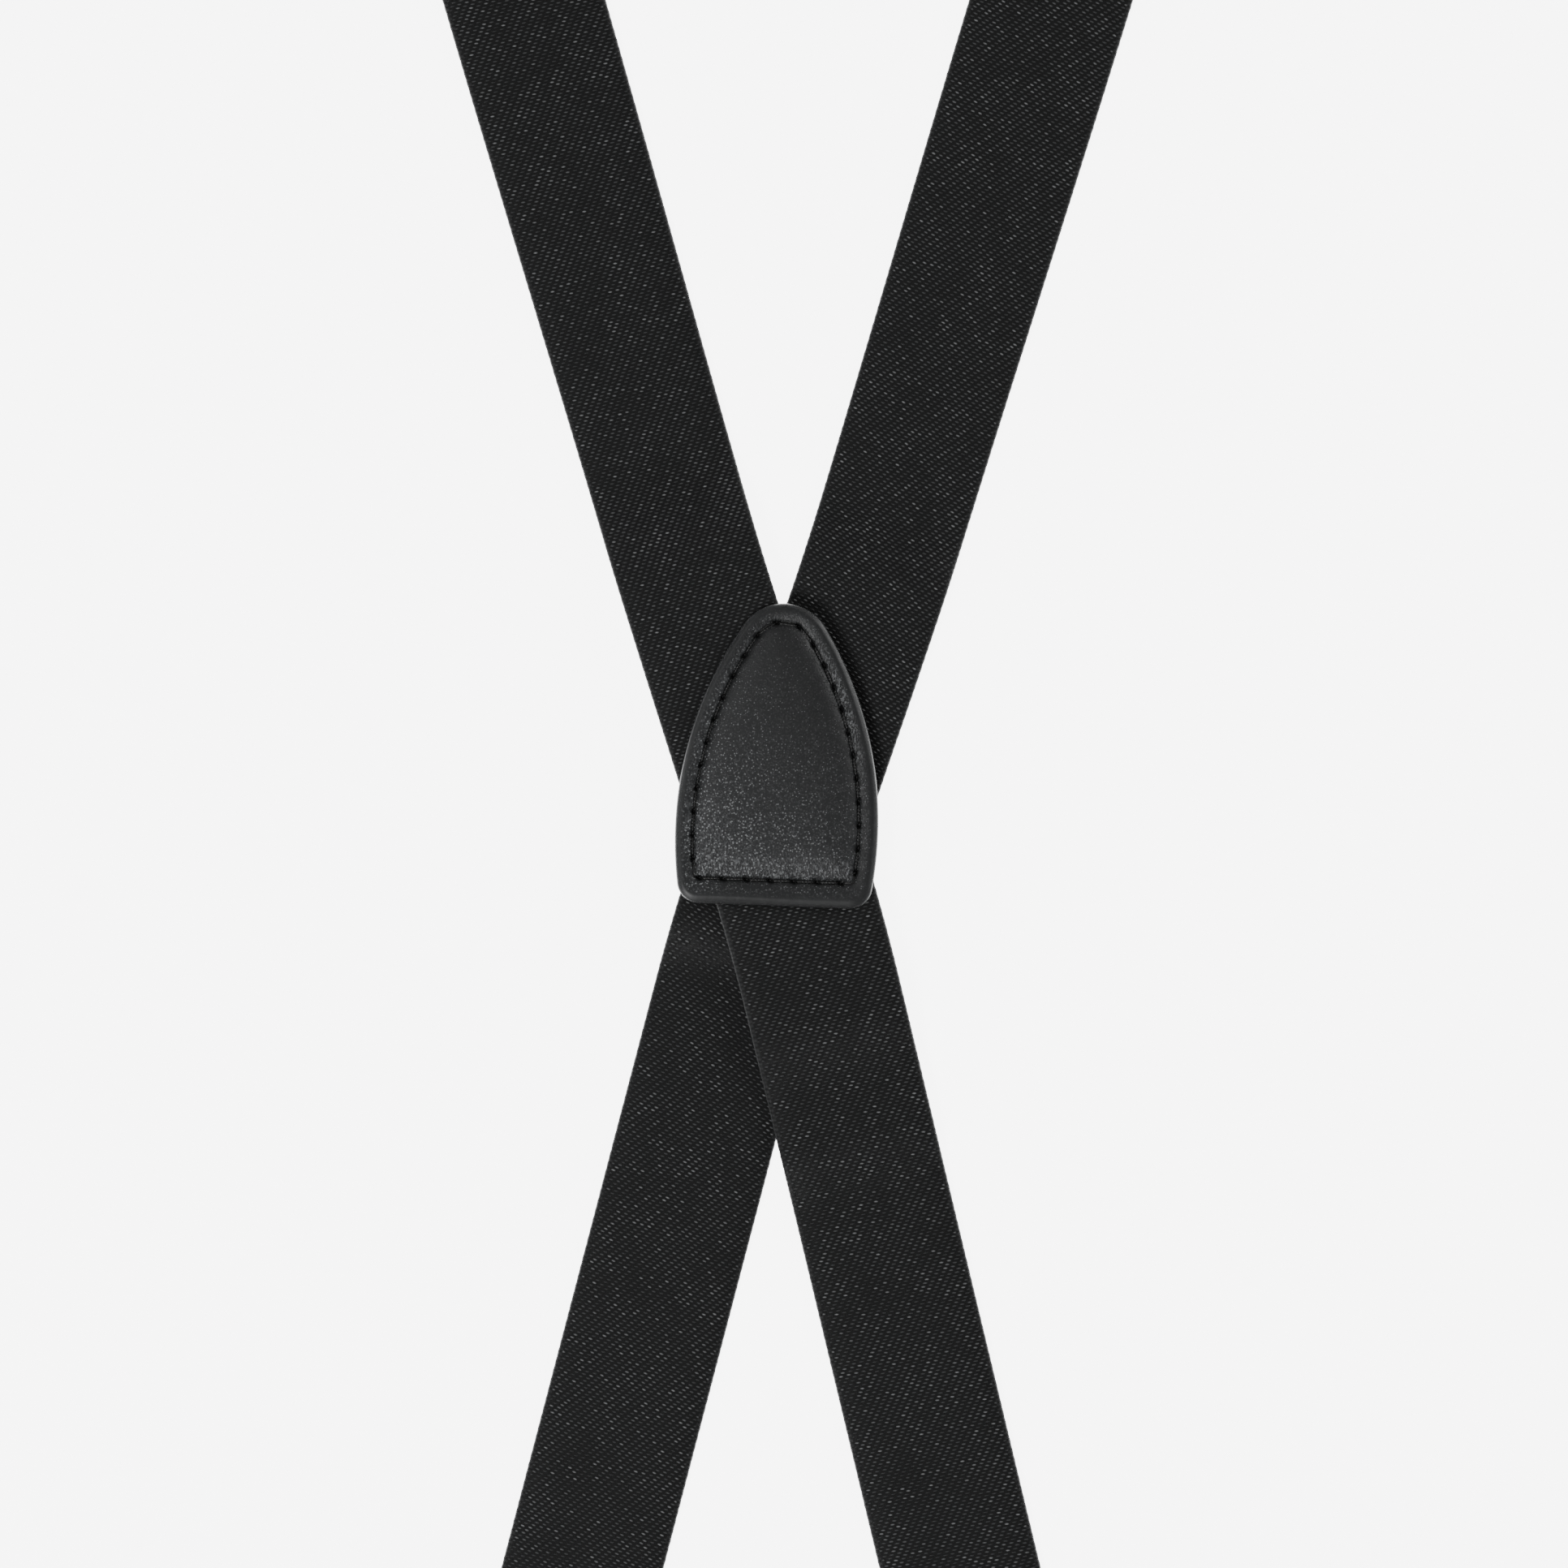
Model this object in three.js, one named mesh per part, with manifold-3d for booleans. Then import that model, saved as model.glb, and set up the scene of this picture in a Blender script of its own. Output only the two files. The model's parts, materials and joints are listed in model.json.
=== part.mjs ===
// X-back suspenders, laid flat with their outer face up.
//
// Two elastic straps cross under a stitched leather patch. Each strap ends at the back in a
// sewn loop and at the front in an adjustable loop, and each of the four loops carries a
// toothed clip. Millimetres, +Z up, +Y towards the front ends, z = 0 is the table. The
// origin is the middle of the patch's underside.
import * as THREE from "three";
import { mergeVertices } from "three/addons/utils/BufferGeometryUtils.js";
import Module from "manifold-3d";

const wasm = await Module();
wasm.setup();

// ---- Driving dimensions -------------------------------------------------------------

const GAP = 0.3; // clearance kept between neighbouring solids
const SHARP_CORNER = 0.6; // radius of a corner that looks sharp

const WEBBING = {
  width: 25.6,
  neckWidth: 24.2, // drawn in by the seam where the front run leaves the patch
  neckLength: 110, // distance over which it widens again
  thickness: 1.4,
  ramp: 11, // length over which it climbs or drops one layer
  slack: 4, // level length kept past a seam or an edge
  bendReach: 16, // how far each side of the patch edge the strap takes to turn
  station: 22, // longest step between sections
};

const LAYOUT = {
  backLength: 215, // patch edge to back clip bar
  frontLength: 590, // patch edge to front clip bar
  loopLength: 150, // adjuster centre to front clip bar
  backTail: 24, // sewn tail of a back loop
  frontTail: 18, // sewn tail at an adjuster
};

// Each strap enters the patch at its front edge and leaves at its back edge, measured
// across from the middle line, and runs off at its own angle from that line.
const STRAPS = {
  left: { side: -1, frontX: 12.8, backX: 3.7, frontAngle: 16.2, backAngle: 13.5, over: true },
  right: { side: 1, frontX: 14.3, backX: 3.6, frontAngle: 17.0, backAngle: 14.7, over: false },
};

const PATCH = {
  width: 32.9,
  length: 49.0,
  waist: 12.4, // widest line, below the middle
  apexRadius: 7.92,
  cornerRadius: 3.6,
  backThickness: 1.1,
  frontThickness: 1.2,
  panelRise: 0.8, // padded panel inside the seam
  seamInset: 3.0,
  seamFootInset: 4.1,
  grooveWidth: 1.3,
  grooveDepth: 0.6,
  threadWidth: 0.7,
  edgeRound: 0.4,
  turn: 2.2, // degrees, clockwise seen from above
};

const BAR_RADIUS = 1.0; // round bars that the webbing folds over
const BAR_ROOT = 0.5; // how far a bar runs into the side that holds it
const PIN_ROOT = 0.2; // how far a pin runs into its head
const SPINE_POINTS = 12; // between two points of a lever's side line
const PIN_SIDES = 10;
const HEAD_SIDES = 14;

const CLIP = {
  length: 50, // strap bar to jaw tip
  slot: 8, // strap bar to hinge bar
  railThickness: 1.4,
  railHeight: 2.9,
  boss: 0.6, // metal round the end of a bar
  shoulder: 1, // run of the rail's steps
  plate: 1.2,
  plateStart: 3, // beyond the hinge bar
  pivotFromTip: 19,
  jaw: 0.9,
  curlEnd: 325, // degrees, where the jaw's curl round the hinge bar stops
  padLength: 10.5,
  padMargin: 1.0, // pad short of the jaw's sides
  toothHeight: 0.5,
  teeth: 5,
  lip: 1.0,
  rivetRadius: 0.7,
  rivetHead: 1.5,
  rivetHeadThickness: 0.7,
  camNose: 3.8,
  camDrop: 2.4, // fall of the cam radius over its working arc
  camArc: 100, // degrees
  camWall: 0.35, // least metal left round the rivet's hole
  camFlat: 1,
  flange: 1.1,
  flangeReach: 0.5, // share of the lever's reach
  flangeFall: 0.32, // share of the cover's fall
  earRadius: 1.7,
  earFoot: 3.7, // half the ear's width where it leaves the rail
  coverPlate: 1.0,
  coverFall: 3.2, // from the pivot down to the finger end
  coverStart: 1.5, // finger end beyond the hinge bar, towards the strap
  cornerRadius: 3.0,
};

// The clip lever in side view: share of the way from finger end to pivot, share of the fall.
const LEVER_LINE = [
  [0, 0.78],
  [0.08, 0.97],
  [0.3, 0.62],
  [0.65, 0.14],
  [0.85, 0],
  [1.045, 0],
];

const ADJUSTER = {
  before: 12, // frame ahead of its middle, towards the patch
  barOffset: 8, // its loop bar, towards the clip
  plate: 1.2,
  wall: 1.4,
  pivotOffset: 9,
  pinRadius: 0.8,
  pinHead: 1.4,
  pinHeadThickness: 0.6,
  barrelWall: 0.6,
  boss: 0.8, // metal round the end of the bar
  bossRamp: 5, // length over which the side's underside rises to the boss
  wallLevel: 0.5, // side wall above the bar
  camNose: 2.2,
  camFlat: 0.6, // half the width of the nose's flat
  camSpread: 55, // degrees below level where the nose leaves its barrel
  earRadius: 1.9,
  earFoot: 4.2, // from the ear's middle to where it meets the side wall
  cover: 1.1,
  coverNeck: 3, // level part of the cover beyond the pin
  coverRise: 0.4,
  coverLip: 0.4, // upturn at its free end
  coverTop: -1, // where it reaches its full height
  coverReach: 13, // beyond the middle
  cornerRadius: 2.6,
};

// The straps' fold beside an adjuster's bar.
const FOLD = {
  ramp: 7.5, // length of a step of one or more layers
  crest: 1.5, // level length each side of a crest
  cut: 2, // a strap and its front loop part here, before the adjuster's middle
};

// ---- Derived levels and widths --------------------------------------------------------

const t = WEBBING.thickness;
const layer = t + GAP;
const tableLine = t / 2; // centre line of webbing lying on the table
const stackedLine = tableLine + layer;
const barHeight = t + GAP + BAR_RADIUS;
const foldRadius = BAR_RADIUS + GAP + t / 2;
const foldTop = barHeight + foldRadius;
const onPatchLine = PATCH.backThickness + GAP + t / 2;
const overPatchLine = onPatchLine + layer;
const throughLine = ADJUSTER.plate + GAP + t / 2; // webbing between an adjuster's base and cam
// Where a doubled back loop is one layer again.
const backLoopEnd = LAYOUT.backTail + WEBBING.slack + WEBBING.ramp;
const insideHalf = WEBBING.width / 2 + 2 * GAP; // inner face of a clip's or adjuster's sides
const patchBackEdge = -PATCH.length / 2;
const patchFrontEdge = PATCH.length / 2;

const rad = THREE.MathUtils.degToRad;

// ---- Materials ------------------------------------------------------------------------

const material = (color, roughness, metalness) =>
  new THREE.MeshStandardMaterial({ color, roughness, metalness });
const webbingMaterial = material(0x1b1b1d, 0.85, 0);
const leatherMaterial = material(0x28282a, 0.5, 0);
const threadMaterial = material(0x0c0c0d, 0.6, 0);
const nickelMaterial = material(0xc4c4c6, 0.22, 1);
const padMaterial = material(0x1a1a1a, 0.6, 0);

// ---- Solids: joining and cutting ------------------------------------------------------

function solidOf(geometry) {
  const bare = geometry.clone();
  bare.deleteAttribute("normal");
  bare.deleteAttribute("uv");
  const merged = mergeVertices(bare, 1e-4);
  return new wasm.Manifold(
    new wasm.Mesh({
      numProp: 3,
      vertProperties: merged.attributes.position.array,
      triVerts: new Uint32Array(merged.index.array),
    }),
  );
}

function geometryOf(solid) {
  const mesh = solid.getMesh();
  return new THREE.BufferGeometry()
    .setAttribute("position", new THREE.BufferAttribute(mesh.vertProperties, 3))
    .setIndex(new THREE.BufferAttribute(mesh.triVerts, 1));
}

const joined = (...geometries) =>
  geometryOf(geometries.map(solidOf).reduce((sum, next) => sum.add(next)));

const cut = (geometry, ...tools) =>
  geometryOf(tools.map(solidOf).reduce((left, tool) => left.subtract(tool), solidOf(geometry)));

const common = (geometry, tool) => geometryOf(solidOf(geometry).intersect(solidOf(tool)));

// ---- Shapes ---------------------------------------------------------------------------

// A side profile (along, up) swept across from `from` to `to`.
function acrossFrom(profile, from, to, curveSegments = 6) {
  return new THREE.ExtrudeGeometry(profile, { depth: to - from, bevelEnabled: false, curveSegments })
    .rotateX(Math.PI / 2)
    .translate(0, to, 0);
}

const across = (profile, halfWidth, curveSegments) =>
  acrossFrom(profile, -halfWidth, halfWidth, curveSegments);

const box = (x0, x1, y0, y1, z0, z1) =>
  new THREE.BoxGeometry(x1 - x0, y1 - y0, z1 - z0).translate(
    (x0 + x1) / 2,
    (y0 + y1) / 2,
    (z0 + z1) / 2,
  );

// A round bar lying across, from y0 to y1.
const bar = (x, z, radius, y0, y1, segments = 16) =>
  new THREE.CylinderGeometry(radius, radius, y1 - y0, segments).translate(x, (y0 + y1) / 2, z);

// Rounds the two corners, seen from above, of the end at `tipX` that faces along `facing`.
function roundTip(geometry, tipX, facing, halfWidth, radius) {
  const reach = 100; // past the far end of any piece
  const margin = 20; // past its top and bottom
  const outline = new THREE.Shape()
    .moveTo(-reach, -halfWidth)
    .lineTo(-radius, -halfWidth)
    .absarc(-radius, radius - halfWidth, radius, -Math.PI / 2, 0, false)
    .absarc(-radius, halfWidth - radius, radius, 0, Math.PI / 2, false)
    .lineTo(-reach, halfWidth);
  const tool = new THREE.ExtrudeGeometry(outline, {
    depth: 2 * margin,
    bevelEnabled: false,
    curveSegments: 5,
  })
    .translate(0, 0, -margin)
    .rotateZ(facing > 0 ? 0 : Math.PI)
    .translate(tipX, 0, 0);
  return common(geometry, tool);
}

function polygon(points) {
  return new THREE.Shape(points.map(([x, y]) => new THREE.Vector2(x, y)));
}

// Points offset from a centre line by `distance` to its left, with mitred corners.
function offsetLine(points, distance) {
  return points.map((point, i) => {
    const before = points[Math.max(i - 1, 0)];
    const after = points[Math.min(i + 1, points.length - 1)];
    const into = (i ? point.clone().sub(before) : after.clone().sub(point)).normalize();
    const out = (i < points.length - 1 ? after.clone().sub(point) : into.clone()).normalize();
    const normalIn = new THREE.Vector2(-into.y, into.x);
    const mitre = normalIn.clone().add(new THREE.Vector2(-out.y, out.x)).normalize();
    return point.clone().addScaledVector(mitre, distance / mitre.dot(normalIn));
  });
}

// A plate of even thickness whose side view follows a centre line.
function thickLine(points, thickness) {
  const upper = offsetLine(points, thickness / 2);
  const lower = offsetLine(points, -thickness / 2);
  return new THREE.Shape([...lower, ...upper.reverse()]);
}

// An S curve on a side path, level at both ends.
function easeTo(path, x, y) {
  const from = path.currentPoint;
  const middle = (from.x + x) / 2;
  return path.bezierCurveTo(middle, from.y, middle, y, x, y);
}

// ---- Webbing --------------------------------------------------------------------------

// The strap's line seen from above, from the back clip bar to the front clip bar.
function planOf(strap) {
  const away = (x, y, angle, side, sign, distance) =>
    new THREE.Vector2(
      x + side * Math.sin(rad(angle)) * distance,
      y + sign * Math.cos(rad(angle)) * distance,
    );
  const back = new THREE.Vector2(-strap.side * strap.backX, patchBackEdge);
  const front = new THREE.Vector2(strap.side * strap.frontX, patchFrontEdge);
  const reach = WEBBING.bendReach;
  const backAt = (d) => away(back.x, back.y, strap.backAngle, -strap.side, -1, d);
  const frontAt = (d) => away(front.x, front.y, strap.frontAngle, strap.side, 1, d);
  const middle = front.clone().sub(back);
  const under = middle.clone().normalize();
  const start = backAt(LAYOUT.backLength);
  const line = new THREE.Path()
    .moveTo(start.x, start.y)
    .lineTo(backAt(reach).x, backAt(reach).y)
    .quadraticCurveTo(back.x, back.y, back.x + under.x * reach, back.y + under.y * reach)
    .lineTo(front.x - under.x * reach, front.y - under.y * reach)
    .quadraticCurveTo(front.x, front.y, frontAt(reach).x, frontAt(reach).y)
    .lineTo(frontAt(LAYOUT.frontLength).x, frontAt(LAYOUT.frontLength).y);
  const length = line.getLength();
  const at = (s) => {
    const inside = THREE.MathUtils.clamp(s, 0, length);
    const step = 0.05;
    const a = line.getPoint(Math.max(inside - step, 0) / length);
    const b = line.getPoint(Math.min(inside + step, length) / length);
    const heading = b.sub(a).normalize();
    const point = line.getPoint(inside / length).addScaledVector(heading, s - inside);
    return { point, heading };
  };
  return {
    at,
    length,
    backEdge: LAYOUT.backLength, // where the strap meets the patch's back edge
    frontEdge: length - LAYOUT.frontLength,
    adjuster: length - LAYOUT.loopLength,
  };
}

// Drawn in just ahead of the patch, full width elsewhere.
function widthAt(plan, s) {
  const share = THREE.MathUtils.smoothstep(s, plan.frontEdge, plan.frontEdge + WEBBING.neckLength);
  const behind = 1 - THREE.MathUtils.smoothstep(s, plan.backEdge, plan.frontEdge);
  const drawn = (1 - share) * (1 - behind);
  return WEBBING.width - (WEBBING.width - WEBBING.neckWidth) * drawn;
}

// A strip of webbing: its centre line (distance along the plan, height) given one thickness
// and swept to the strap's width.
function ribbon(plan, sidePath) {
  const curvePoints = 6;
  const sampled = sidePath.getPoints(curvePoints);
  const points = [sampled[0]];
  for (const next of sampled.slice(1)) {
    const last = points[points.length - 1];
    const gapLength = last.distanceTo(next);
    if (gapLength < 1e-4) continue;
    const steps = Math.ceil(gapLength / WEBBING.station);
    for (let k = 1; k <= steps; k++) points.push(last.clone().lerp(next, k / steps));
  }
  const upper = offsetLine(points, t / 2);
  const lower = offsetLine(points, -t / 2);
  const corners = points.flatMap((point, i) => {
    const half = widthAt(plan, point.x) / 2;
    return [
      [lower[i], half],
      [lower[i], -half],
      [upper[i], -half],
      [upper[i], half],
    ].flatMap(([edge, sideways]) => {
      const { point: centre, heading } = plan.at(point.x);
      const along = edge.x - point.x;
      return [
        centre.x + heading.x * along - heading.y * sideways,
        centre.y + heading.y * along + heading.x * sideways,
        edge.y,
      ];
    });
  });
  const faces = [];
  for (let i = 0; i < points.length - 1; i++) {
    for (let k = 0; k < 4; k++) {
      const a = 4 * i + k;
      const b = 4 * i + ((k + 1) % 4);
      faces.push(a, b + 4, b, a, a + 4, b + 4);
    }
  }
  const end = 4 * (points.length - 1);
  faces.push(0, 1, 2, 0, 2, 3, end, end + 2, end + 1, end, end + 3, end + 2);
  return new THREE.BufferGeometry()
    .setAttribute("position", new THREE.Float32BufferAttribute(corners, 3))
    .setIndex(faces);
}

// How far past an edge of the patch the two straps still lie over each other.
function overlapReach(place, angle, width) {
  const straps = Object.values(STRAPS);
  const sum = (term) => straps.reduce((total, strap) => total + term(strap), 0);
  const cover = sum((strap) => width / 2 / Math.cos(rad(strap[angle])));
  const apart = sum((strap) => strap[place]);
  const spread = sum((strap) => Math.tan(rad(strap[angle])));
  return Math.max((cover - apart) / spread, 0);
}

// Side path of a back loop: its sewn tail on the table, round the clip's bar and back over it.
function backLoopSide() {
  const path = new THREE.Path().moveTo(LAYOUT.backTail, tableLine).lineTo(0, tableLine);
  path.absarc(0, barHeight, foldRadius, -Math.PI / 2, Math.PI / 2, true);
  easeTo(path, WEBBING.ramp, stackedLine);
  path.lineTo(backLoopEnd - WEBBING.ramp, stackedLine);
  return easeTo(path, backLoopEnd, tableLine);
}

// Where a strap leaves the table for the crossing and comes back down to it, and how far past
// the patch it stays raised on the other strap.
function crossingOf(strap, plan) {
  const { ramp, slack } = WEBBING;
  if (!strap.over) {
    return { start: plan.backEdge - slack - ramp, end: plan.frontEdge + slack + ramp };
  }
  const behind = overlapReach("backX", "backAngle", WEBBING.width);
  const ahead = overlapReach("frontX", "frontAngle", WEBBING.neckWidth) + slack;
  return { start: plan.backEdge - behind - ramp, end: plan.frontEdge + ahead + 2 * ramp, behind, ahead };
}

// Side path of a strap from its back loop to the crossing.
function backRunSide(strap, plan) {
  const path = new THREE.Path().moveTo(backLoopEnd + GAP, tableLine);
  return path.lineTo(crossingOf(strap, plan).start - GAP, tableLine);
}

// Side path of a strap up into the patch and down again.
function crossingSide(strap, plan) {
  const { ramp, slack } = WEBBING;
  const { start, end, behind, ahead } = crossingOf(strap, plan);
  const path = new THREE.Path().moveTo(start, tableLine);
  if (strap.over) {
    easeTo(path, plan.backEdge - behind, stackedLine);
    path.lineTo(plan.backEdge - 2 * ramp - 2 * slack, stackedLine);
    easeTo(path, plan.backEdge - ramp - 2 * slack, overPatchLine);
    path.lineTo(plan.frontEdge + ahead, overPatchLine);
  } else {
    easeTo(path, plan.backEdge - slack, onPatchLine);
    path.lineTo(plan.frontEdge + slack, onPatchLine);
  }
  return easeTo(path, end, tableLine);
}

// Side path of a strap from the crossing into the adjuster.
function frontRunSide(strap, plan) {
  const path = new THREE.Path().moveTo(crossingOf(strap, plan).end + GAP, tableLine);
  path.lineTo(plan.adjuster - ADJUSTER.before - WEBBING.ramp, tableLine);
  easeTo(path, plan.adjuster - ADJUSTER.before, throughLine);
  return path.lineTo(plan.adjuster - FOLD.cut, throughLine);
}

// Side path of the adjustable front loop: out over the adjuster's bar, round the clip's bar,
// back underneath, round the adjuster's bar and into its sewn tail.
function frontLoopSide(plan) {
  const { ramp, crest } = FOLD;
  const barAt = plan.adjuster + ADJUSTER.barOffset;
  const tailEnd = barAt + LAYOUT.frontTail;
  const overTail = stackedLine + layer;
  const path = new THREE.Path().moveTo(plan.adjuster - FOLD.cut + GAP, throughLine);
  path.lineTo(barAt - crest - ramp, throughLine);
  easeTo(path, barAt - crest, foldTop + layer);
  path.lineTo(barAt + crest, foldTop + layer);
  easeTo(path, barAt + crest + ramp, overTail);
  path.lineTo(tailEnd + crest, overTail);
  easeTo(path, tailEnd + crest + ramp, stackedLine);
  path.lineTo(plan.length - crest - ramp, stackedLine);
  easeTo(path, plan.length - crest, foldTop);
  path.lineTo(plan.length, foldTop);
  path.absarc(plan.length, barHeight, foldRadius, Math.PI / 2, -Math.PI / 2, true);
  path.lineTo(barAt, tableLine);
  path.absarc(barAt, barHeight, foldRadius, -Math.PI / 2, Math.PI / 2, true);
  easeTo(path, barAt + ramp, stackedLine);
  return path.lineTo(tailEnd, stackedLine);
}

// ---- Leather patch --------------------------------------------------------------------

// The patch outline, moved in by `inset` at its sides and by `footInset` at its foot.
function patchOutline(inset = 0, footInset = inset) {
  const halfWidth = PATCH.width / 2;
  const centreY = -PATCH.waist;
  const apexY = PATCH.length / 2 - PATCH.apexRadius;
  const rise = apexY - centreY;
  // The side arcs are widest at the waist and run smoothly into the round apex.
  const sideRadius =
    (halfWidth ** 2 + rise ** 2 - PATCH.apexRadius ** 2) / (2 * (halfWidth - PATCH.apexRadius));
  const centreX = sideRadius - halfWidth;
  const radius = sideRadius - inset;
  const apexRadius = PATCH.apexRadius - inset;
  const lean = Math.atan2(rise, centreX);
  const corner = Math.max(PATCH.cornerRadius - inset, SHARP_CORNER);
  const cornerY = -PATCH.length / 2 + footInset + corner;
  const fall = Math.asin((centreY - cornerY) / (radius - corner));
  const cornerX = (radius - corner) * Math.cos(fall) - centreX;
  const shape = new THREE.Shape();
  shape.absarc(-centreX, centreY, radius, -fall, lean, false);
  shape.absarc(0, apexY, apexRadius, lean, Math.PI - lean, false);
  shape.absarc(centreX, centreY, radius, Math.PI - lean, Math.PI + fall, false);
  shape.absarc(-cornerX, cornerY, corner, Math.PI + fall, 1.5 * Math.PI, false);
  shape.absarc(cornerX, cornerY, corner, -0.5 * Math.PI, -fall, false);
  return shape;
}

function roundedPlate(shape, z0, z1, round) {
  return new THREE.ExtrudeGeometry(shape, {
    depth: z1 - z0 - 2 * round,
    bevelEnabled: true,
    bevelThickness: round,
    bevelSize: round,
    bevelOffset: -round,
    bevelSegments: 2,
    curveSegments: 8,
  }).translate(0, 0, z0 + round);
}

// A ring that follows the seam line, `width` wide.
function seamRing(width, z0, z1) {
  const outer = patchOutline(PATCH.seamInset - width / 2, PATCH.seamFootInset - width / 2);
  const inner = patchOutline(PATCH.seamInset + width / 2, PATCH.seamFootInset + width / 2);
  outer.holes.push(new THREE.Path(inner.getPoints(8)));
  return new THREE.ExtrudeGeometry(outer, {
    depth: z1 - z0,
    bevelEnabled: false,
    curveSegments: 8,
  }).translate(0, 0, z0);
}

const patchBottom = overPatchLine + t / 2 + GAP;
const patchTop = patchBottom + PATCH.frontThickness;

function patchFront() {
  const band = roundedPlate(patchOutline(), patchBottom, patchTop, PATCH.edgeRound);
  const inset = PATCH.seamInset + PATCH.grooveWidth / 2;
  const footInset = PATCH.seamFootInset + PATCH.grooveWidth / 2;
  const panel = roundedPlate(
    patchOutline(inset, footInset),
    patchBottom + PATCH.frontThickness / 2,
    patchTop + PATCH.panelRise,
    PATCH.edgeRound,
  );
  const groove = seamRing(PATCH.grooveWidth, patchTop - PATCH.grooveDepth, patchTop + 2 * PATCH.panelRise);
  return cut(joined(band, panel), groove);
}

const patchBack = () => roundedPlate(patchOutline(), 0, PATCH.backThickness, PATCH.edgeRound);

const patchThread = () =>
  seamRing(PATCH.threadWidth, patchTop - PATCH.grooveDepth + GAP, patchTop + GAP / 2);

// ---- Clips ----------------------------------------------------------------------------
// Local frame: origin under the strap bar, X towards the jaw tip, Y across, Z up.

const railOut = insideHalf + CLIP.railThickness;
const plateAt = CLIP.slot + CLIP.plateStart;
const pivotX = CLIP.length - CLIP.pivotFromTip;
const padX0 = CLIP.length - CLIP.lip - GAP - CLIP.padLength;
const padX1 = CLIP.length - CLIP.lip - GAP;
const curlInner = BAR_RADIUS + GAP;
const curlOuter = curlInner + CLIP.jaw;
const jawBottom = barHeight + curlInner;
const jawTop = jawBottom + CLIP.jaw;
const toothLine = (CLIP.plate + jawBottom) / 2; // where the two pads meet
const pivotZ = jawTop + GAP + CLIP.camNose;
const rivetHole = CLIP.rivetRadius + GAP;
const coverBottom = pivotZ + CLIP.rivetRadius + GAP;
const jawHalf = insideHalf - 2 * GAP;
const flangeOut = insideHalf - GAP;
const flangeIn = flangeOut - CLIP.flange;

function clipFrame() {
  const bossRadius = BAR_RADIUS + CLIP.boss;
  const side = new THREE.Shape()
    .moveTo(CLIP.slot + CLIP.shoulder, barHeight + bossRadius)
    .lineTo(0, barHeight + bossRadius)
    .absarc(0, barHeight, bossRadius, Math.PI / 2, 1.5 * Math.PI, false)
    .lineTo(CLIP.slot, barHeight - bossRadius)
    .lineTo(plateAt, 0)
    .lineTo(CLIP.length, 0)
    .lineTo(CLIP.length, CLIP.plate)
    .lineTo(pivotX + CLIP.earFoot, CLIP.plate)
    .lineTo(pivotX + CLIP.earRadius, pivotZ)
    .absarc(pivotX, pivotZ, CLIP.earRadius, 0, Math.PI, false)
    .lineTo(pivotX - CLIP.earFoot, CLIP.railHeight)
    .lineTo(plateAt + CLIP.shoulder, CLIP.railHeight);
  side.holes.push(new THREE.Path().absarc(pivotX, pivotZ, rivetHole, 0, 2 * Math.PI, false));
  const plate = box(plateAt, CLIP.length, -railOut, railOut, 0, CLIP.plate);
  const lipTop = toothLine - GAP;
  const lip = box(CLIP.length - CLIP.lip, CLIP.length, -jawHalf, jawHalf, CLIP.plate / 2, lipTop);
  const barEnd = insideHalf + BAR_ROOT;
  const frame = joined(
    acrossFrom(side, insideHalf, railOut),
    acrossFrom(side, -railOut, -insideHalf),
    plate,
    lip,
    bar(0, barHeight, BAR_RADIUS, -barEnd, barEnd),
    bar(CLIP.slot, barHeight, BAR_RADIUS, -barEnd, barEnd),
  );
  return roundTip(frame, CLIP.length, 1, railOut, CLIP.cornerRadius);
}

// The spring jaw curls round the hinge bar and ends in a turned-down lip.
function clipJaw() {
  const side = new THREE.Shape()
    .moveTo(CLIP.slot, jawTop)
    .absarc(CLIP.slot, barHeight, curlOuter, Math.PI / 2, rad(CLIP.curlEnd), false)
    .absarc(CLIP.slot, barHeight, curlInner, rad(CLIP.curlEnd), Math.PI / 2, true)
    .lineTo(CLIP.length - CLIP.lip, jawBottom)
    .lineTo(CLIP.length - CLIP.lip, toothLine + GAP)
    .lineTo(CLIP.length, toothLine + GAP)
    .lineTo(CLIP.length, jawTop);
  return roundTip(across(side, jawHalf, 8), CLIP.length, 1, jawHalf, CLIP.cornerRadius);
}

// A ridged plastic insert. `up` is 1 for the lower pad, whose ridges point up.
function clipPad(up) {
  const backing = up > 0 ? CLIP.plate + GAP : jawBottom - GAP;
  const pitch = CLIP.padLength / CLIP.teeth;
  const meet = toothLine - (up * GAP) / 2;
  const points = [[padX0, backing]];
  for (let k = 0; k < CLIP.teeth; k++) {
    points.push([padX0 + k * pitch, meet - CLIP.toothHeight / 2]);
    points.push([padX0 + (k + 0.5) * pitch, meet + CLIP.toothHeight / 2]);
  }
  points.push([padX1, meet - CLIP.toothHeight / 2], [padX1, backing]);
  return across(polygon(up > 0 ? points : points.reverse()), jawHalf - CLIP.padMargin);
}

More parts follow.
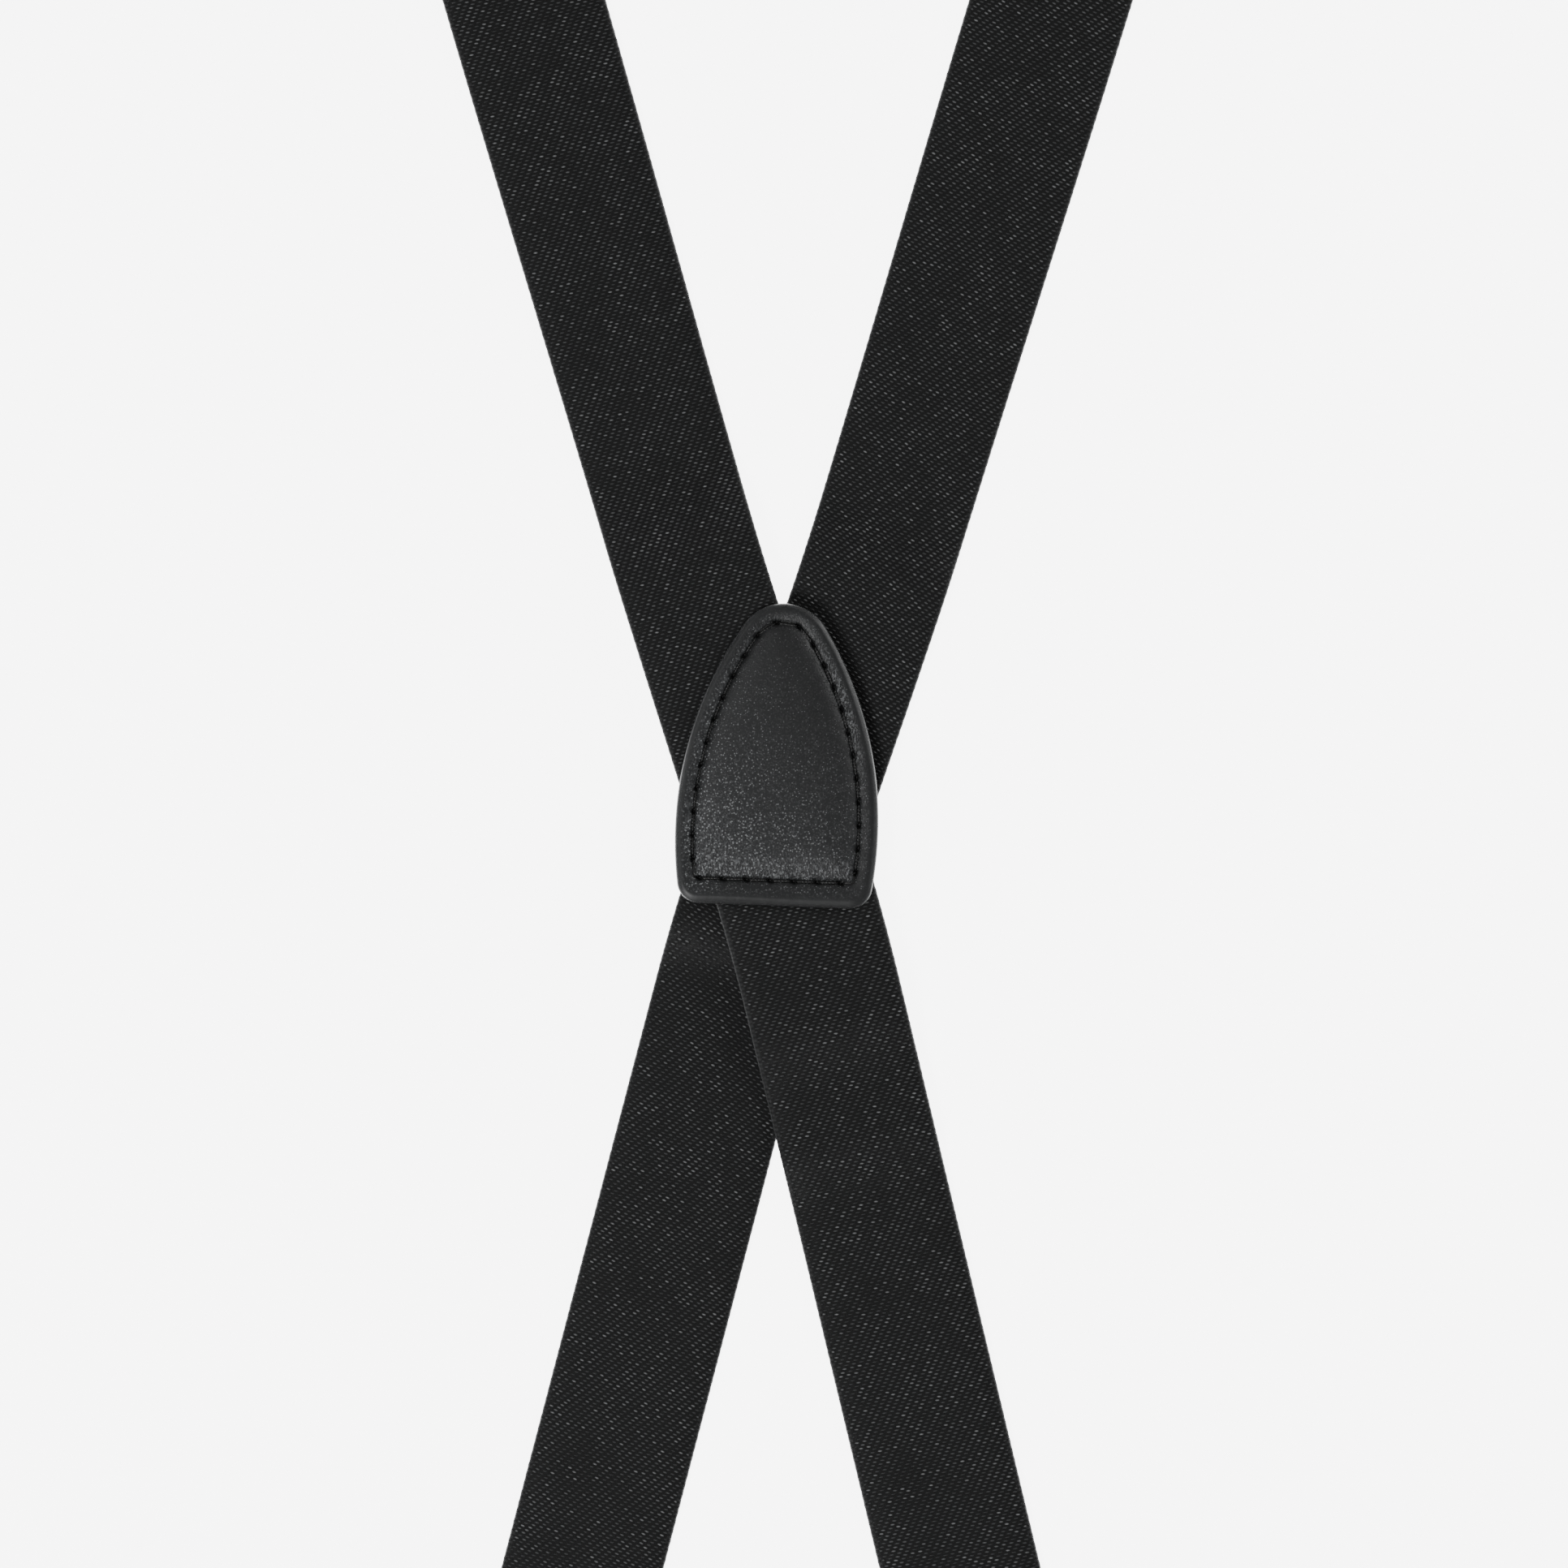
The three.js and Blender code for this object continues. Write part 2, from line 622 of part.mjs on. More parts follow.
// The lever: cover plate, two cam flanges, and a finger lip at its free end.
function clipLever() {
  const coverMid = coverBottom + CLIP.coverPlate / 2;
  const free = CLIP.slot - CLIP.coverStart;
  const reach = pivotX - free;
  const spine = new THREE.SplineCurve(
    LEVER_LINE.map(([way, fall]) => new THREE.Vector2(free + way * reach, coverMid - fall * CLIP.coverFall)),
  );
  const outline = spine.getPoints(SPINE_POINTS);
  const wideEnd = pivotX - 2 * CLIP.earRadius;
  const wideLine = outline.filter((p) => p.x < wideEnd);
  const wide = roundTip(
    across(thickLine(wideLine, CLIP.coverPlate), railOut),
    free - CLIP.coverPlate,
    -1,
    railOut,
    CLIP.cornerRadius,
  );
  const narrowLine = outline.filter((p) => p.x > wideEnd - 3 * CLIP.coverPlate);
  const narrow = across(thickLine(narrowLine, CLIP.coverPlate), flangeOut);
  const flange = new THREE.Shape();
  const step = 10; // degrees
  flange.moveTo(pivotX, pivotZ - CLIP.camNose);
  for (let angle = step; angle <= CLIP.camArc; angle += step) {
    const radius = Math.max(CLIP.camNose - CLIP.camDrop * (angle / CLIP.camArc), rivetHole + CLIP.camWall);
    flange.lineTo(pivotX + radius * Math.sin(rad(angle)), pivotZ - radius * Math.cos(rad(angle)));
  }
  flange
    .lineTo(pivotX + CLIP.camFlat, coverMid)
    .lineTo(pivotX - CLIP.flangeReach * reach, coverMid - CLIP.flangeFall * CLIP.coverFall)
    .lineTo(pivotX - CLIP.camFlat, pivotZ - CLIP.camNose);
  flange.holes.push(new THREE.Path().absarc(pivotX, pivotZ, rivetHole, 0, 2 * Math.PI, false));
  return joined(
    wide,
    narrow,
    acrossFrom(flange, flangeIn, flangeOut),
    acrossFrom(flange, -flangeOut, -flangeIn),
  );
}

// A stub rivet through one ear and its flange, on the side that `side` gives.
function clipRivet(side) {
  const under = railOut + GAP;
  const top = under + CLIP.rivetHeadThickness;
  const shank = bar(pivotX, pivotZ, CLIP.rivetRadius, flangeIn, under + PIN_ROOT, PIN_SIDES);
  const head = bar(pivotX, pivotZ, CLIP.rivetHead, under, top, HEAD_SIDES);
  const rivet = joined(shank, head);
  return side > 0 ? rivet : rivet.rotateZ(Math.PI).translate(2 * pivotX, 0, 0);
}

function clip(name, plan, atFront) {
  const group = new THREE.Group();
  const { point, heading } = plan.at(atFront ? plan.length : 0);
  const outward = atFront ? heading : heading.clone().negate();
  group.position.set(point.x, point.y, 0);
  group.rotation.z = Math.atan2(outward.y, outward.x);
  group.add(
    piece(`${name}_clip_frame`, clipFrame(), nickelMaterial),
    piece(`${name}_clip_jaw`, clipJaw(), nickelMaterial),
    piece(`${name}_clip_lever`, clipLever(), nickelMaterial),
    piece(`${name}_clip_rivet_a`, clipRivet(1), nickelMaterial),
    piece(`${name}_clip_rivet_b`, clipRivet(-1), nickelMaterial),
    piece(`${name}_clip_pad_lower`, clipPad(1), padMaterial),
    piece(`${name}_clip_pad_upper`, clipPad(-1), padMaterial),
  );
  return group;
}

// ---- Adjusters ------------------------------------------------------------------------
// Local frame: origin under the middle, X towards the clip, Y across, Z up.

const adjusterPivotX = -ADJUSTER.pivotOffset;
const adjusterPivotZ = throughLine + t / 2 + GAP + ADJUSTER.camNose;
const adjusterHole = ADJUSTER.pinRadius + GAP;
const adjusterWallOut = insideHalf + ADJUSTER.wall;

function adjusterFrame() {
  const { before, barOffset, plate, earRadius } = ADJUSTER;
  const bossRadius = BAR_RADIUS + ADJUSTER.boss;
  const side = new THREE.Shape()
    .moveTo(-before, 0)
    .lineTo(barOffset - ADJUSTER.bossRamp, 0)
    .lineTo(barOffset, barHeight - bossRadius)
    .absarc(barOffset, barHeight, bossRadius, -Math.PI / 2, Math.PI / 2, false)
    .lineTo(adjusterPivotX + ADJUSTER.earFoot, barHeight + ADJUSTER.wallLevel)
    .lineTo(adjusterPivotX + earRadius, adjusterPivotZ)
    .absarc(adjusterPivotX, adjusterPivotZ, earRadius, 0, Math.PI, false)
    .lineTo(-before, barHeight);
  side.holes.push(
    new THREE.Path().absarc(adjusterPivotX, adjusterPivotZ, adjusterHole, 0, 2 * Math.PI, false),
  );
  const barEnd = insideHalf + BAR_ROOT;
  return joined(
    acrossFrom(side, insideHalf, adjusterWallOut),
    acrossFrom(side, -adjusterWallOut, -insideHalf),
    box(-before, 0, -barEnd, barEnd, 0, plate),
    bar(barOffset, barHeight, BAR_RADIUS, -barEnd, barEnd),
  );
}

// The locking lever: a barrel round the pin with a clamping nose, and an arched cover.
function adjusterLever() {
  const barrel = adjusterHole + ADJUSTER.barrelWall;
  const spread = rad(ADJUSTER.camSpread);
  const humpTop = foldTop + layer + t / 2;
  const coverMid = humpTop + GAP + ADJUSTER.cover / 2;
  const nose = new THREE.Shape()
    .absarc(adjusterPivotX, adjusterPivotZ, barrel, -spread, Math.PI + spread, false)
    .lineTo(adjusterPivotX - ADJUSTER.camFlat, adjusterPivotZ - ADJUSTER.camNose)
    .lineTo(adjusterPivotX + ADJUSTER.camFlat, adjusterPivotZ - ADJUSTER.camNose);
  nose.holes.push(
    new THREE.Path().absarc(adjusterPivotX, adjusterPivotZ, adjusterHole, 0, 2 * Math.PI, false),
  );
  const end = ADJUSTER.coverReach;
  const neckZ = adjusterPivotZ + adjusterHole + ADJUSTER.cover / 2;
  const spine = new THREE.SplineCurve([
    new THREE.Vector2(adjusterPivotX, neckZ),
    new THREE.Vector2(adjusterPivotX + ADJUSTER.coverNeck, neckZ + ADJUSTER.coverRise),
    new THREE.Vector2(ADJUSTER.coverTop, coverMid),
    new THREE.Vector2(end / 2, coverMid),
    new THREE.Vector2(end - 1, coverMid - ADJUSTER.coverLip),
    new THREE.Vector2(end, coverMid),
  ]);
  const outline = spine.getPoints(SPINE_POINTS);
  const wideStart = adjusterPivotX + 2 * ADJUSTER.earRadius;
  const wideLine = outline.filter((p) => p.x > wideStart);
  const narrowLine = outline.filter((p) => p.x < wideStart + 3 * ADJUSTER.cover);
  const wide = roundTip(
    across(thickLine(wideLine, ADJUSTER.cover), adjusterWallOut),
    end,
    1,
    adjusterWallOut,
    ADJUSTER.cornerRadius,
  );
  return joined(
    across(nose, flangeOut, 8),
    across(thickLine(narrowLine, ADJUSTER.cover), flangeOut),
    wide,
  );
}

function adjusterPin() {
  const end = adjusterWallOut + GAP;
  const head = end + ADJUSTER.pinHeadThickness;
  return joined(
    bar(adjusterPivotX, adjusterPivotZ, ADJUSTER.pinRadius, -end - PIN_ROOT, end + PIN_ROOT, PIN_SIDES),
    bar(adjusterPivotX, adjusterPivotZ, ADJUSTER.pinHead, end, head, HEAD_SIDES),
    bar(adjusterPivotX, adjusterPivotZ, ADJUSTER.pinHead, -head, -end, HEAD_SIDES),
  );
}

function adjuster(name, plan) {
  const group = new THREE.Group();
  const { point, heading } = plan.at(plan.adjuster);
  group.position.set(point.x, point.y, 0);
  group.rotation.z = Math.atan2(heading.y, heading.x);
  group.add(
    piece(`${name}_adjuster_frame`, adjusterFrame(), nickelMaterial),
    piece(`${name}_adjuster_lever`, adjusterLever(), nickelMaterial),
    piece(`${name}_adjuster_pin`, adjusterPin(), nickelMaterial),
  );
  return group;
}

// ---- Assembly -------------------------------------------------------------------------

function piece(name, geometry, itsMaterial) {
  const mesh = new THREE.Mesh(geometry, itsMaterial);
  mesh.name = name;
  return mesh;
}

const suspenders = new THREE.Group();

const patch = new THREE.Group();
patch.rotation.z = -rad(PATCH.turn);
patch.add(
  piece("patch_back", patchBack(), leatherMaterial),
  piece("patch_front", patchFront(), leatherMaterial),
  piece("patch_thread", patchThread(), threadMaterial),
);
suspenders.add(patch);

for (const [name, strap] of Object.entries(STRAPS)) {
  const plan = planOf(strap);
  // The left shoulder's strap ends at the right of the back, and the other way round.
  const backName = strap.side < 0 ? "right" : "left";
  suspenders.add(
    piece(`${name}_strap_back`, ribbon(plan, backRunSide(strap, plan)), webbingMaterial),
    piece(`${name}_strap_crossing`, ribbon(plan, crossingSide(strap, plan)), webbingMaterial),
    piece(`${name}_strap_front`, ribbon(plan, frontRunSide(strap, plan)), webbingMaterial),
    piece(`front_${name}_loop`, ribbon(plan, frontLoopSide(plan)), webbingMaterial),
    piece(`back_${backName}_loop`, ribbon(plan, backLoopSide()), webbingMaterial),
    adjuster(name, plan),
    clip(`front_${name}`, plan, true),
    clip(`back_${backName}`, plan, false),
  );
}

export default suspenders;
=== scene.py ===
"""Dressed model of a pair of X-back suspenders, laid flat with their outer face up.

Two elastic straps cross under a stitched leather patch. Every webbing, leather, thread and
metal piece is built around the fixed frame of solids, in the same place and in metres.
"""

import json
import logging
import math
from dataclasses import dataclass, field
from enum import Enum
from typing import Any, Callable, Iterable, Sequence

import bmesh
import bpy
import numpy as np
from mathutils import Matrix, Vector

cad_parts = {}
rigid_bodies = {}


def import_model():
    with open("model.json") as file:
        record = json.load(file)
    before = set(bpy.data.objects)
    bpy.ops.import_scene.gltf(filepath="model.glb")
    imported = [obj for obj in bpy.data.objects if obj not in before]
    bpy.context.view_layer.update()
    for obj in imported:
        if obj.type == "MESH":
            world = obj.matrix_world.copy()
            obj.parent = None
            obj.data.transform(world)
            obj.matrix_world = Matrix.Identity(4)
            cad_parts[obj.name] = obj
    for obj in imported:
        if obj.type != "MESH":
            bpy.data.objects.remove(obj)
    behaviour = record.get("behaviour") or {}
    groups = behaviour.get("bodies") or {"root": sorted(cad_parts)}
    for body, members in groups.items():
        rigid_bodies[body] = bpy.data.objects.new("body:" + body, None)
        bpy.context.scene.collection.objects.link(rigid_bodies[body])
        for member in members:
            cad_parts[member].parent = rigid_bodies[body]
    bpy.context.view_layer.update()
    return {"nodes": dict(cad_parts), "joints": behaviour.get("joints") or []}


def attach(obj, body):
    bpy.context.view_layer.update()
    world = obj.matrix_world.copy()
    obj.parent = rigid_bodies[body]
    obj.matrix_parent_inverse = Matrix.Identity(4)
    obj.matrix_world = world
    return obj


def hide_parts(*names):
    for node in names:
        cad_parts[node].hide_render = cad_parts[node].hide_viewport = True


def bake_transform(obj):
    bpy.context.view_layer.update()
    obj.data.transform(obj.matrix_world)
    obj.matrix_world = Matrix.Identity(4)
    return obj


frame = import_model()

MM = 0.001
PICK = 0.79  # distance between the picks of the weave, in mm
Colour = tuple[float, float, float, float]
logger = logging.getLogger("suspenders")


# ---- Shader maths ---------------------------------------------------------------------------


def node_maths(operation: str) -> Callable[..., "Value"]:
    """Return a method that runs one Math node on a value and its operands."""

    def run(self: "Value", *others: "Value | float") -> "Value":
        """Return the node's result."""
        inputs = dict(enumerate((self, *others)))
        return self.shader.add("ShaderNodeMath", {"operation": operation}, inputs)

    return run


class Value:
    """A shader output whose arithmetic adds Math nodes."""

    __add__ = __radd__ = node_maths("ADD")
    __mul__ = __rmul__ = node_maths("MULTIPLY")
    __sub__ = node_maths("SUBTRACT")
    __truediv__ = node_maths("DIVIDE")
    __pow__ = node_maths("POWER")
    __abs__ = node_maths("ABSOLUTE")
    floor = node_maths("FLOOR")
    cosine = node_maths("COSINE")
    most = node_maths("MAXIMUM")

    def __init__(self, shader: "Shader", socket: bpy.types.NodeSocket) -> None:
        """Keep the socket and the shader that it belongs to."""
        self.shader = shader
        self.socket = socket

    def __rsub__(self, other: float) -> "Value":
        """Return other - self."""
        return self * -1.0 + other

    def smooth(self, low: float, high: float, start: float = 0.0, end: float = 1.0) -> "Value":
        """Ease from the level start to the level end as self goes from low to high."""
        inputs = {"Value": self, "From Min": low, "From Max": high, "To Min": start, "To Max": end}
        return self.shader.add("ShaderNodeMapRange", {"interpolation_type": "SMOOTHSTEP"}, inputs)


# Short names for the Principled shader's further sockets.
SOCKETS = {
    "metallic": "Metallic",
    "specular": "Specular IOR Level",
    "glow": "Emission Strength",
    "glow_colour": "Emission Color",
}


class Shader:
    """A material's node tree and the ways to fill it."""

    def __init__(self, name: str) -> None:
        """Make an empty material of that name."""
        self.material = bpy.data.materials.new(name)
        self.material.use_nodes = True
        self.tree = self.material.node_tree
        self.tree.nodes.clear()

    def add(
        self,
        kind: str,
        settings: dict[str, Any] | None = None,
        inputs: dict[str | int, Any] | None = None,
        output: str | int = 0,
    ) -> Value:
        """Add one node.

        Args:
            kind: The node's type.
            settings: Its properties, set before its sockets.
            inputs: Values or links of its sockets.
            output: Which of its outputs is wanted.

        Returns:
            The chosen output.
        """
        node = self.tree.nodes.new(kind)
        for key, given in (settings or {}).items():
            setattr(node, key, given)
        for key, given in (inputs or {}).items():
            if isinstance(given, Value):
                self.tree.links.new(given.socket, node.inputs[key])
            else:
                node.inputs[key].default_value = given
        return Value(self, node.outputs[output])

    def map_named_weave(self) -> tuple[Value, Value, Value]:
        """Return the map named weave, its distance across and its distance along."""
        weave = self.add("ShaderNodeUVMap", {"uv_map": "weave"})
        across = self.add("ShaderNodeSeparateXYZ", None, {0: weave}, "X")
        return weave, across, Value(self, across.socket.node.outputs["Y"])

    def surface(
        self,
        colour: Value,
        roughness: Value | float,
        height: Value | None = None,
        depth: float = 0.0,
        **more: Any,
    ) -> bpy.types.Material:
        """Finish the material with its Principled shader.

        Args:
            colour: The base colour.
            roughness: The roughness.
            height: What the bump reads, where 1 is one depth.
            depth: The bump's depth in metres.
            more: Further sockets, by their short names.

        Returns:
            The material.
        """
        inputs = {"Base Color": colour, "Roughness": roughness}
        inputs |= {SOCKETS[name]: given for name, given in more.items()}
        if height is not None:
            inputs["Normal"] = self.add("ShaderNodeBump", None, {"Distance": depth, "Height": height})
        shaded = self.add("ShaderNodeBsdfPrincipled", None, inputs)
        node = self.tree.nodes.new("ShaderNodeOutputMaterial")
        self.tree.links.new(shaded.socket, node.inputs["Surface"])
        return self.material

    def place(self) -> Value:
        """Return the point on the piece, in metres."""
        return self.add("ShaderNodeTexCoord", output="Object")

    def attribute(self, name: str) -> Value:
        """Return a number that the mesh carries under that name."""
        return self.add("ShaderNodeAttribute", {"attribute_name": name}, output="Fac")

    def scaled(self, vector: Value, scale: Sequence[float], turn: float = 0.0) -> Value:
        """Return a vector turned about Z and scaled per axis."""
        inputs = {"Vector": vector, "Rotation": (0.0, 0.0, turn), "Scale": tuple(scale)}
        return self.add("ShaderNodeMapping", {"vector_type": "POINT"}, inputs)

    def moved(self, vector: Value, by: Value) -> Value:
        """Return a vector moved by the same amount on every axis."""
        return self.add("ShaderNodeVectorMath", {"operation": "ADD"}, {0: vector, 1: by})

    def noise(self, vector: Value, scale: float, detail: float = 2.0) -> Value:
        """Return soft noise between 0 and 1, with scale features a unit."""
        inputs = {"Vector": vector, "Scale": scale, "Detail": detail}
        return self.add("ShaderNodeTexNoise", None, inputs)

    def blend(self, share: Value | float, low: Any, high: Any) -> Value:
        """Return a colour between low and high."""
        settings = {"data_type": "RGBA", "blend_type": "MIX"}
        return self.add("ShaderNodeMix", settings, {0: share, 6: low, 7: high}, output=2)


def grey(level: float, warm: float = 0.0) -> Colour:
    """Return a near grey, warmer or, below zero, cooler."""
    return (level * (1 + warm), level, level * (1 - warm), 1.0)


# ---- Finishes -------------------------------------------------------------------------------


class Slot(Enum):
    """The record's names of the finishes."""

    WEBBING = "webbing"
    LEATHER = "leather"
    THREAD = "thread"
    NICKEL = "nickel"
    GRIP = "grip_pad"


@dataclass(frozen=True)
class TwillFinish:
    """Black elastic webbing: small nubs on a three-step twill, with plain selvedges."""

    row: float = 0.527 * MM
    repeat: float = 1.26 * MM
    steps: int = 3
    nub: tuple[float, float] = (0.40 * MM, 0.18 * MM)
    tilt: float = -0.3
    half_width: float = 12.8 * MM
    selvedge: float = 1.0 * MM
    pick: float = PICK * MM
    ground: Colour = grey(0.0045, -0.04)
    # Colour of the painted shadow just below each nub.
    shade: Colour = grey(0.0012)
    # Lighter colour of the nub crests: painted highlight where light catches the yarn.
    lit_yarn: Colour = grey(0.078, -0.03)
    # Colour of the painted glints and painted edge highlights.
    glint: Colour = grey(0.2, -0.02)
    depth: float = 0.12 * MM

    def make(self) -> bpy.types.Material:
        """Return the webbing's material, which reads the map named weave."""
        shader = Shader("twill_webbing")
        weave, across, run = shader.map_named_weave()
        drift = shader.noise(weave, 420.0, 1.0) - 0.5
        line = run / self.row + drift * 0.3
        row = line.floor()
        place = across / self.repeat - row / float(self.steps) + drift * 0.12
        column = place.floor()
        side = (place - column - 0.5) * (self.repeat / self.nub[0])
        lift = (line - row - 0.5) * (self.row / self.nub[1])
        cell = shader.add("ShaderNodeCombineXYZ", None, {0: column, 1: row})
        chance = shader.add("ShaderNodeTexWhiteNoise", None, {"Vector": cell})
        rise = lift - side * self.tilt
        nub = (1.0 - side ** 2.0 - rise ** 2.0).most(0.0)
        # A spot just below each nub is darkened toward the shade colour: painted shadow of the nub.
        fall = rise + 1.25
        under = (1.0 - side ** 2.0 - fall ** 2.0).most(0.0)
        inner = self.half_width - self.selvedge
        woven = abs(across).smooth(inner, inner + 0.4 * MM, 1.0, 0.0)
        pick = (run * (2 * math.pi / self.pick)).cosine() * 0.5 + 0.5
        cover = shader.noise(weave, 130.0, 3.0)
        fuzz = shader.noise(weave, 4200.0, 2.0)
        height = nub * woven + pick * (1.0 - woven) * 0.3 + fuzz * 0.25
        shadowed_ground = shader.blend(under * woven * 0.9, self.ground, self.shade)
        # The nub crests are lightened toward the lit yarn colour as painted highlight, varied at random from
        # nub to nub.
        crest = nub ** 0.8 * woven * (chance * 0.5 + 0.5) * cover.smooth(0.25, 0.7, 0.6, 1.0)
        lit_yarn = shader.blend(crest, shadowed_ground, self.lit_yarn)
        # Painted highlights: glints on a few nubs, a bright line along each rounded edge, lighter selvedge
        # pick crests and fibre tips, all blended toward the glint colour.
        shine = chance ** 7.0 * nub ** 1.5 * woven
        rim = abs(across).smooth(self.half_width * 0.972, self.half_width, 0.0, 0.2)
        selvedge = (1.0 - woven) * pick * 0.07
        lit = shader.blend(shine + rim + selvedge + fuzz.smooth(0.6, 0.8, 0.0, 0.05), lit_yarn, self.glint)
        return shader.surface(lit, chance * 0.2 + 0.5, height, self.depth, specular=0.2)


@dataclass(frozen=True)
class LeatherFinish:
    """Black satin leatherette: pebbled on the padded panel, smoother on the band."""

    base: Colour = grey(0.0095, -0.05)
    # Lighter tone of the painted light, brightest toward the panel's lower left and on the band's left side.
    painted_light: Colour = grey(0.019, -0.05)
    # Colour of the painted shade in the seam's groove and needle slots.
    painted_shade: Colour = grey(0.0015)
    # Colour of the pale grain specks and of the painted highlights on pebbles and creases.
    speck_and_glint: Colour = grey(0.27, -0.03)
    spacing: float = 0.5 * MM
    pebble: float = 0.3 * MM
    # Size of the crease lines, which are both bumps and painted highlights.
    crease_and_highlight: tuple[float, float] = (0.26 * MM, 0.6 * MM)
    depth: float = 0.05 * MM

    def make(self) -> bpy.types.Material:
        """Return the leather's material, which reads how padded, creased and grained it is, and where light,
        shade and highlights are painted on it.
        """
        shader = Shader("satin_leatherette")
        place = shader.place()
        names = ("panel", "seam", "crease_and_highlight", "grained", "painted_light")
        panel, seam, crease_and_highlight, grained, painted_light = (shader.attribute(name) for name in names)
        warp = shader.noise(place, 900.0, 2.0)
        dots = shader.add("ShaderNodeTexVoronoi", None, {"Vector": place, "Scale": 1 / self.spacing})
        grit = shader.noise(place, 1 / self.pebble, 1.0)
        turned = shader.scaled(place, (1 / self.crease_and_highlight[0], 1 / self.crease_and_highlight[1], 1 / self.crease_and_highlight[1]), 0.04)
        lines = shader.noise(shader.moved(turned, warp * 0.7), 1.0, 1.0)
        cloud = shader.noise(place, 120.0, 3.0)
        # The grain dots grow larger where the light is painted, in the bump and in the colour.
        dot = (dots - painted_light * 0.13).smooth(0.08, 0.22, 1.0, 0.0) * grained
        pebbles = grit.smooth(0.5, 0.74) * grained
        height = pebbles * 0.7 + dot * 0.3 + warp * 0.4 + (lines - 0.5) * crease_and_highlight * 5.0
        # The tone is lightened toward the lower left as painted light, with some random mottling.
        tone = shader.blend(painted_light * 0.7 + cloud * 0.3, self.base, self.painted_light)
        # Pale specks on the grain, brighter where the light is painted, and pebble tops lightened there as
        # painted highlight.
        specked_and_lit = shader.blend(dot * (painted_light * 0.4 + 0.22) + pebbles * painted_light * 0.16, tone, self.speck_and_glint)
        # The crease lines are lightened toward the speck colour as painted highlight.
        crease_lit = shader.blend(lines.smooth(0.5, 0.68) * crease_and_highlight * 0.4, specked_and_lit, self.speck_and_glint)
        # The seam's groove and needle slots are darkened as painted shade.
        colour = shader.blend(seam, crease_lit, self.painted_shade)
        rough = warp * 0.16 + panel * 0.04 + 0.36
        return shader.surface(colour, rough, height, self.depth, specular=0.36)


@dataclass(frozen=True)
class ThreadFinish:
    """Glossy black twisted thread."""

    # Thread colours: painted shade between the twisted strands and painted highlight on their crests.
    groove_shade: Colour = grey(0.002)
    light: Colour = grey(0.014, -0.03)
    twist: float = 0.5 * MM
    depth: float = 0.05 * MM

    def make(self) -> bpy.types.Material:
        """Return the thread's material, which reads the map named weave along and around it."""
        shader = Shader("twisted_thread")
        weave, around, run = shader.map_named_weave()
        strand = ((run / self.twist - around * 2.0) * (2 * math.pi)).cosine() * 0.5 + 0.5
        fibre = shader.noise(shader.scaled(weave, (24.0, 900.0, 1.0)), 1.0, 2.0)
        # Each strand's crest is lightened and the groove between strands darkened: painted highlight and
        # painted shade of the twist, with random fibre streaks.
        tone = shader.blend(strand ** 1.5 * 0.8 + fibre * 0.2, self.groove_shade, self.light)
        height = strand + fibre * 0.3
        return shader.surface(tone, fibre * 0.2 + 0.3, height, self.depth, specular=0.4)


@dataclass(frozen=True)
class NickelFinish:
    """Bright nickel plate on pressed steel, with faint rolling lines and handling haze."""

    bright: Colour = grey(0.74, 0.012)
    dull: Colour = grey(0.50, 0.02)
    depth: float = 0.012 * MM

    def make(self) -> bpy.types.Material:
        """Return the plated metal's material."""
        shader = Shader("bright_nickel")
        place = shader.place()
        lines = shader.noise(shader.scaled(place, (260.0, 2600.0, 900.0)), 1.0, 2.0)
        haze = shader.noise(place, 75.0, 4.0)
        scratch = shader.noise(shader.scaled(place, (90.0, 5200.0, 300.0), 0.5), 1.0, 1.0)
        mark = scratch.smooth(0.68, 0.76)
        tone = shader.blend(haze.smooth(0.35, 0.8, 0.0, 0.45) + mark * 0.25, self.bright, self.dull)
        rough = haze * 0.16 + lines * 0.08 + mark * 0.1 + 0.07
        height = lines * 0.5 + haze * 0.6 - mark * 0.3
        return shader.surface(tone, rough, height, self.depth, metallic=1.0)


@dataclass(frozen=True)
class GripFinish:
    """Moulded black plastic with a spark-eroded grain and scuffed crests."""

    base: Colour = grey(0.018)
    scuffed: Colour = grey(0.05)
    depth: float = 0.03 * MM

    def make(self) -> bpy.types.Material:
        """Return the grip pads' material."""
        shader = Shader("moulded_grip")
        place = shader.place()
        grain = shader.noise(place, 4200.0, 2.0)
        scuff = shader.noise(place, 420.0, 3.0)
        tone = shader.blend(scuff.smooth(0.5, 0.75, 0.0, 0.6), self.base, self.scuffed)
        return shader.surface(tone, scuff * 0.25 + 0.45, grain, self.depth)


@dataclass(frozen=True)
class TableFinish:
    """Matt white laminate that glows a little, as on a light table."""

    white: Colour = grey(0.93)
    mottled: Colour = grey(0.88)
    glow: float = 6.5

    def make(self) -> bpy.types.Material:
        """Return the table's material."""
        shader = Shader("white_table")
        mottle = shader.noise(shader.place(), 9.0, 2.0)
        tone = shader.blend(mottle * 0.05, self.white, self.mottled)
        return shader.surface(tone, 0.75, glow_colour=grey(1.0), glow=self.glow)


class Wardrobe:
    """All finishes, made once, by slot."""

    def __init__(self) -> None:
        """Make every finish."""
        self.materials = {
            Slot.WEBBING: TwillFinish().make(),
            Slot.LEATHER: LeatherFinish().make(),
            Slot.THREAD: ThreadFinish().make(),
            Slot.NICKEL: NickelFinish().make(),
            Slot.GRIP: GripFinish().make(),
        }

    def dress(self, piece: bpy.types.Object, slot: Slot) -> bpy.types.Object:
        """Return a piece, dressed in the finish that a slot names."""
        piece.data.materials.clear()
        piece.data.materials.append(self.materials[slot])
        return piece


# ---- Meshes ---------------------------------------------------------------------------------


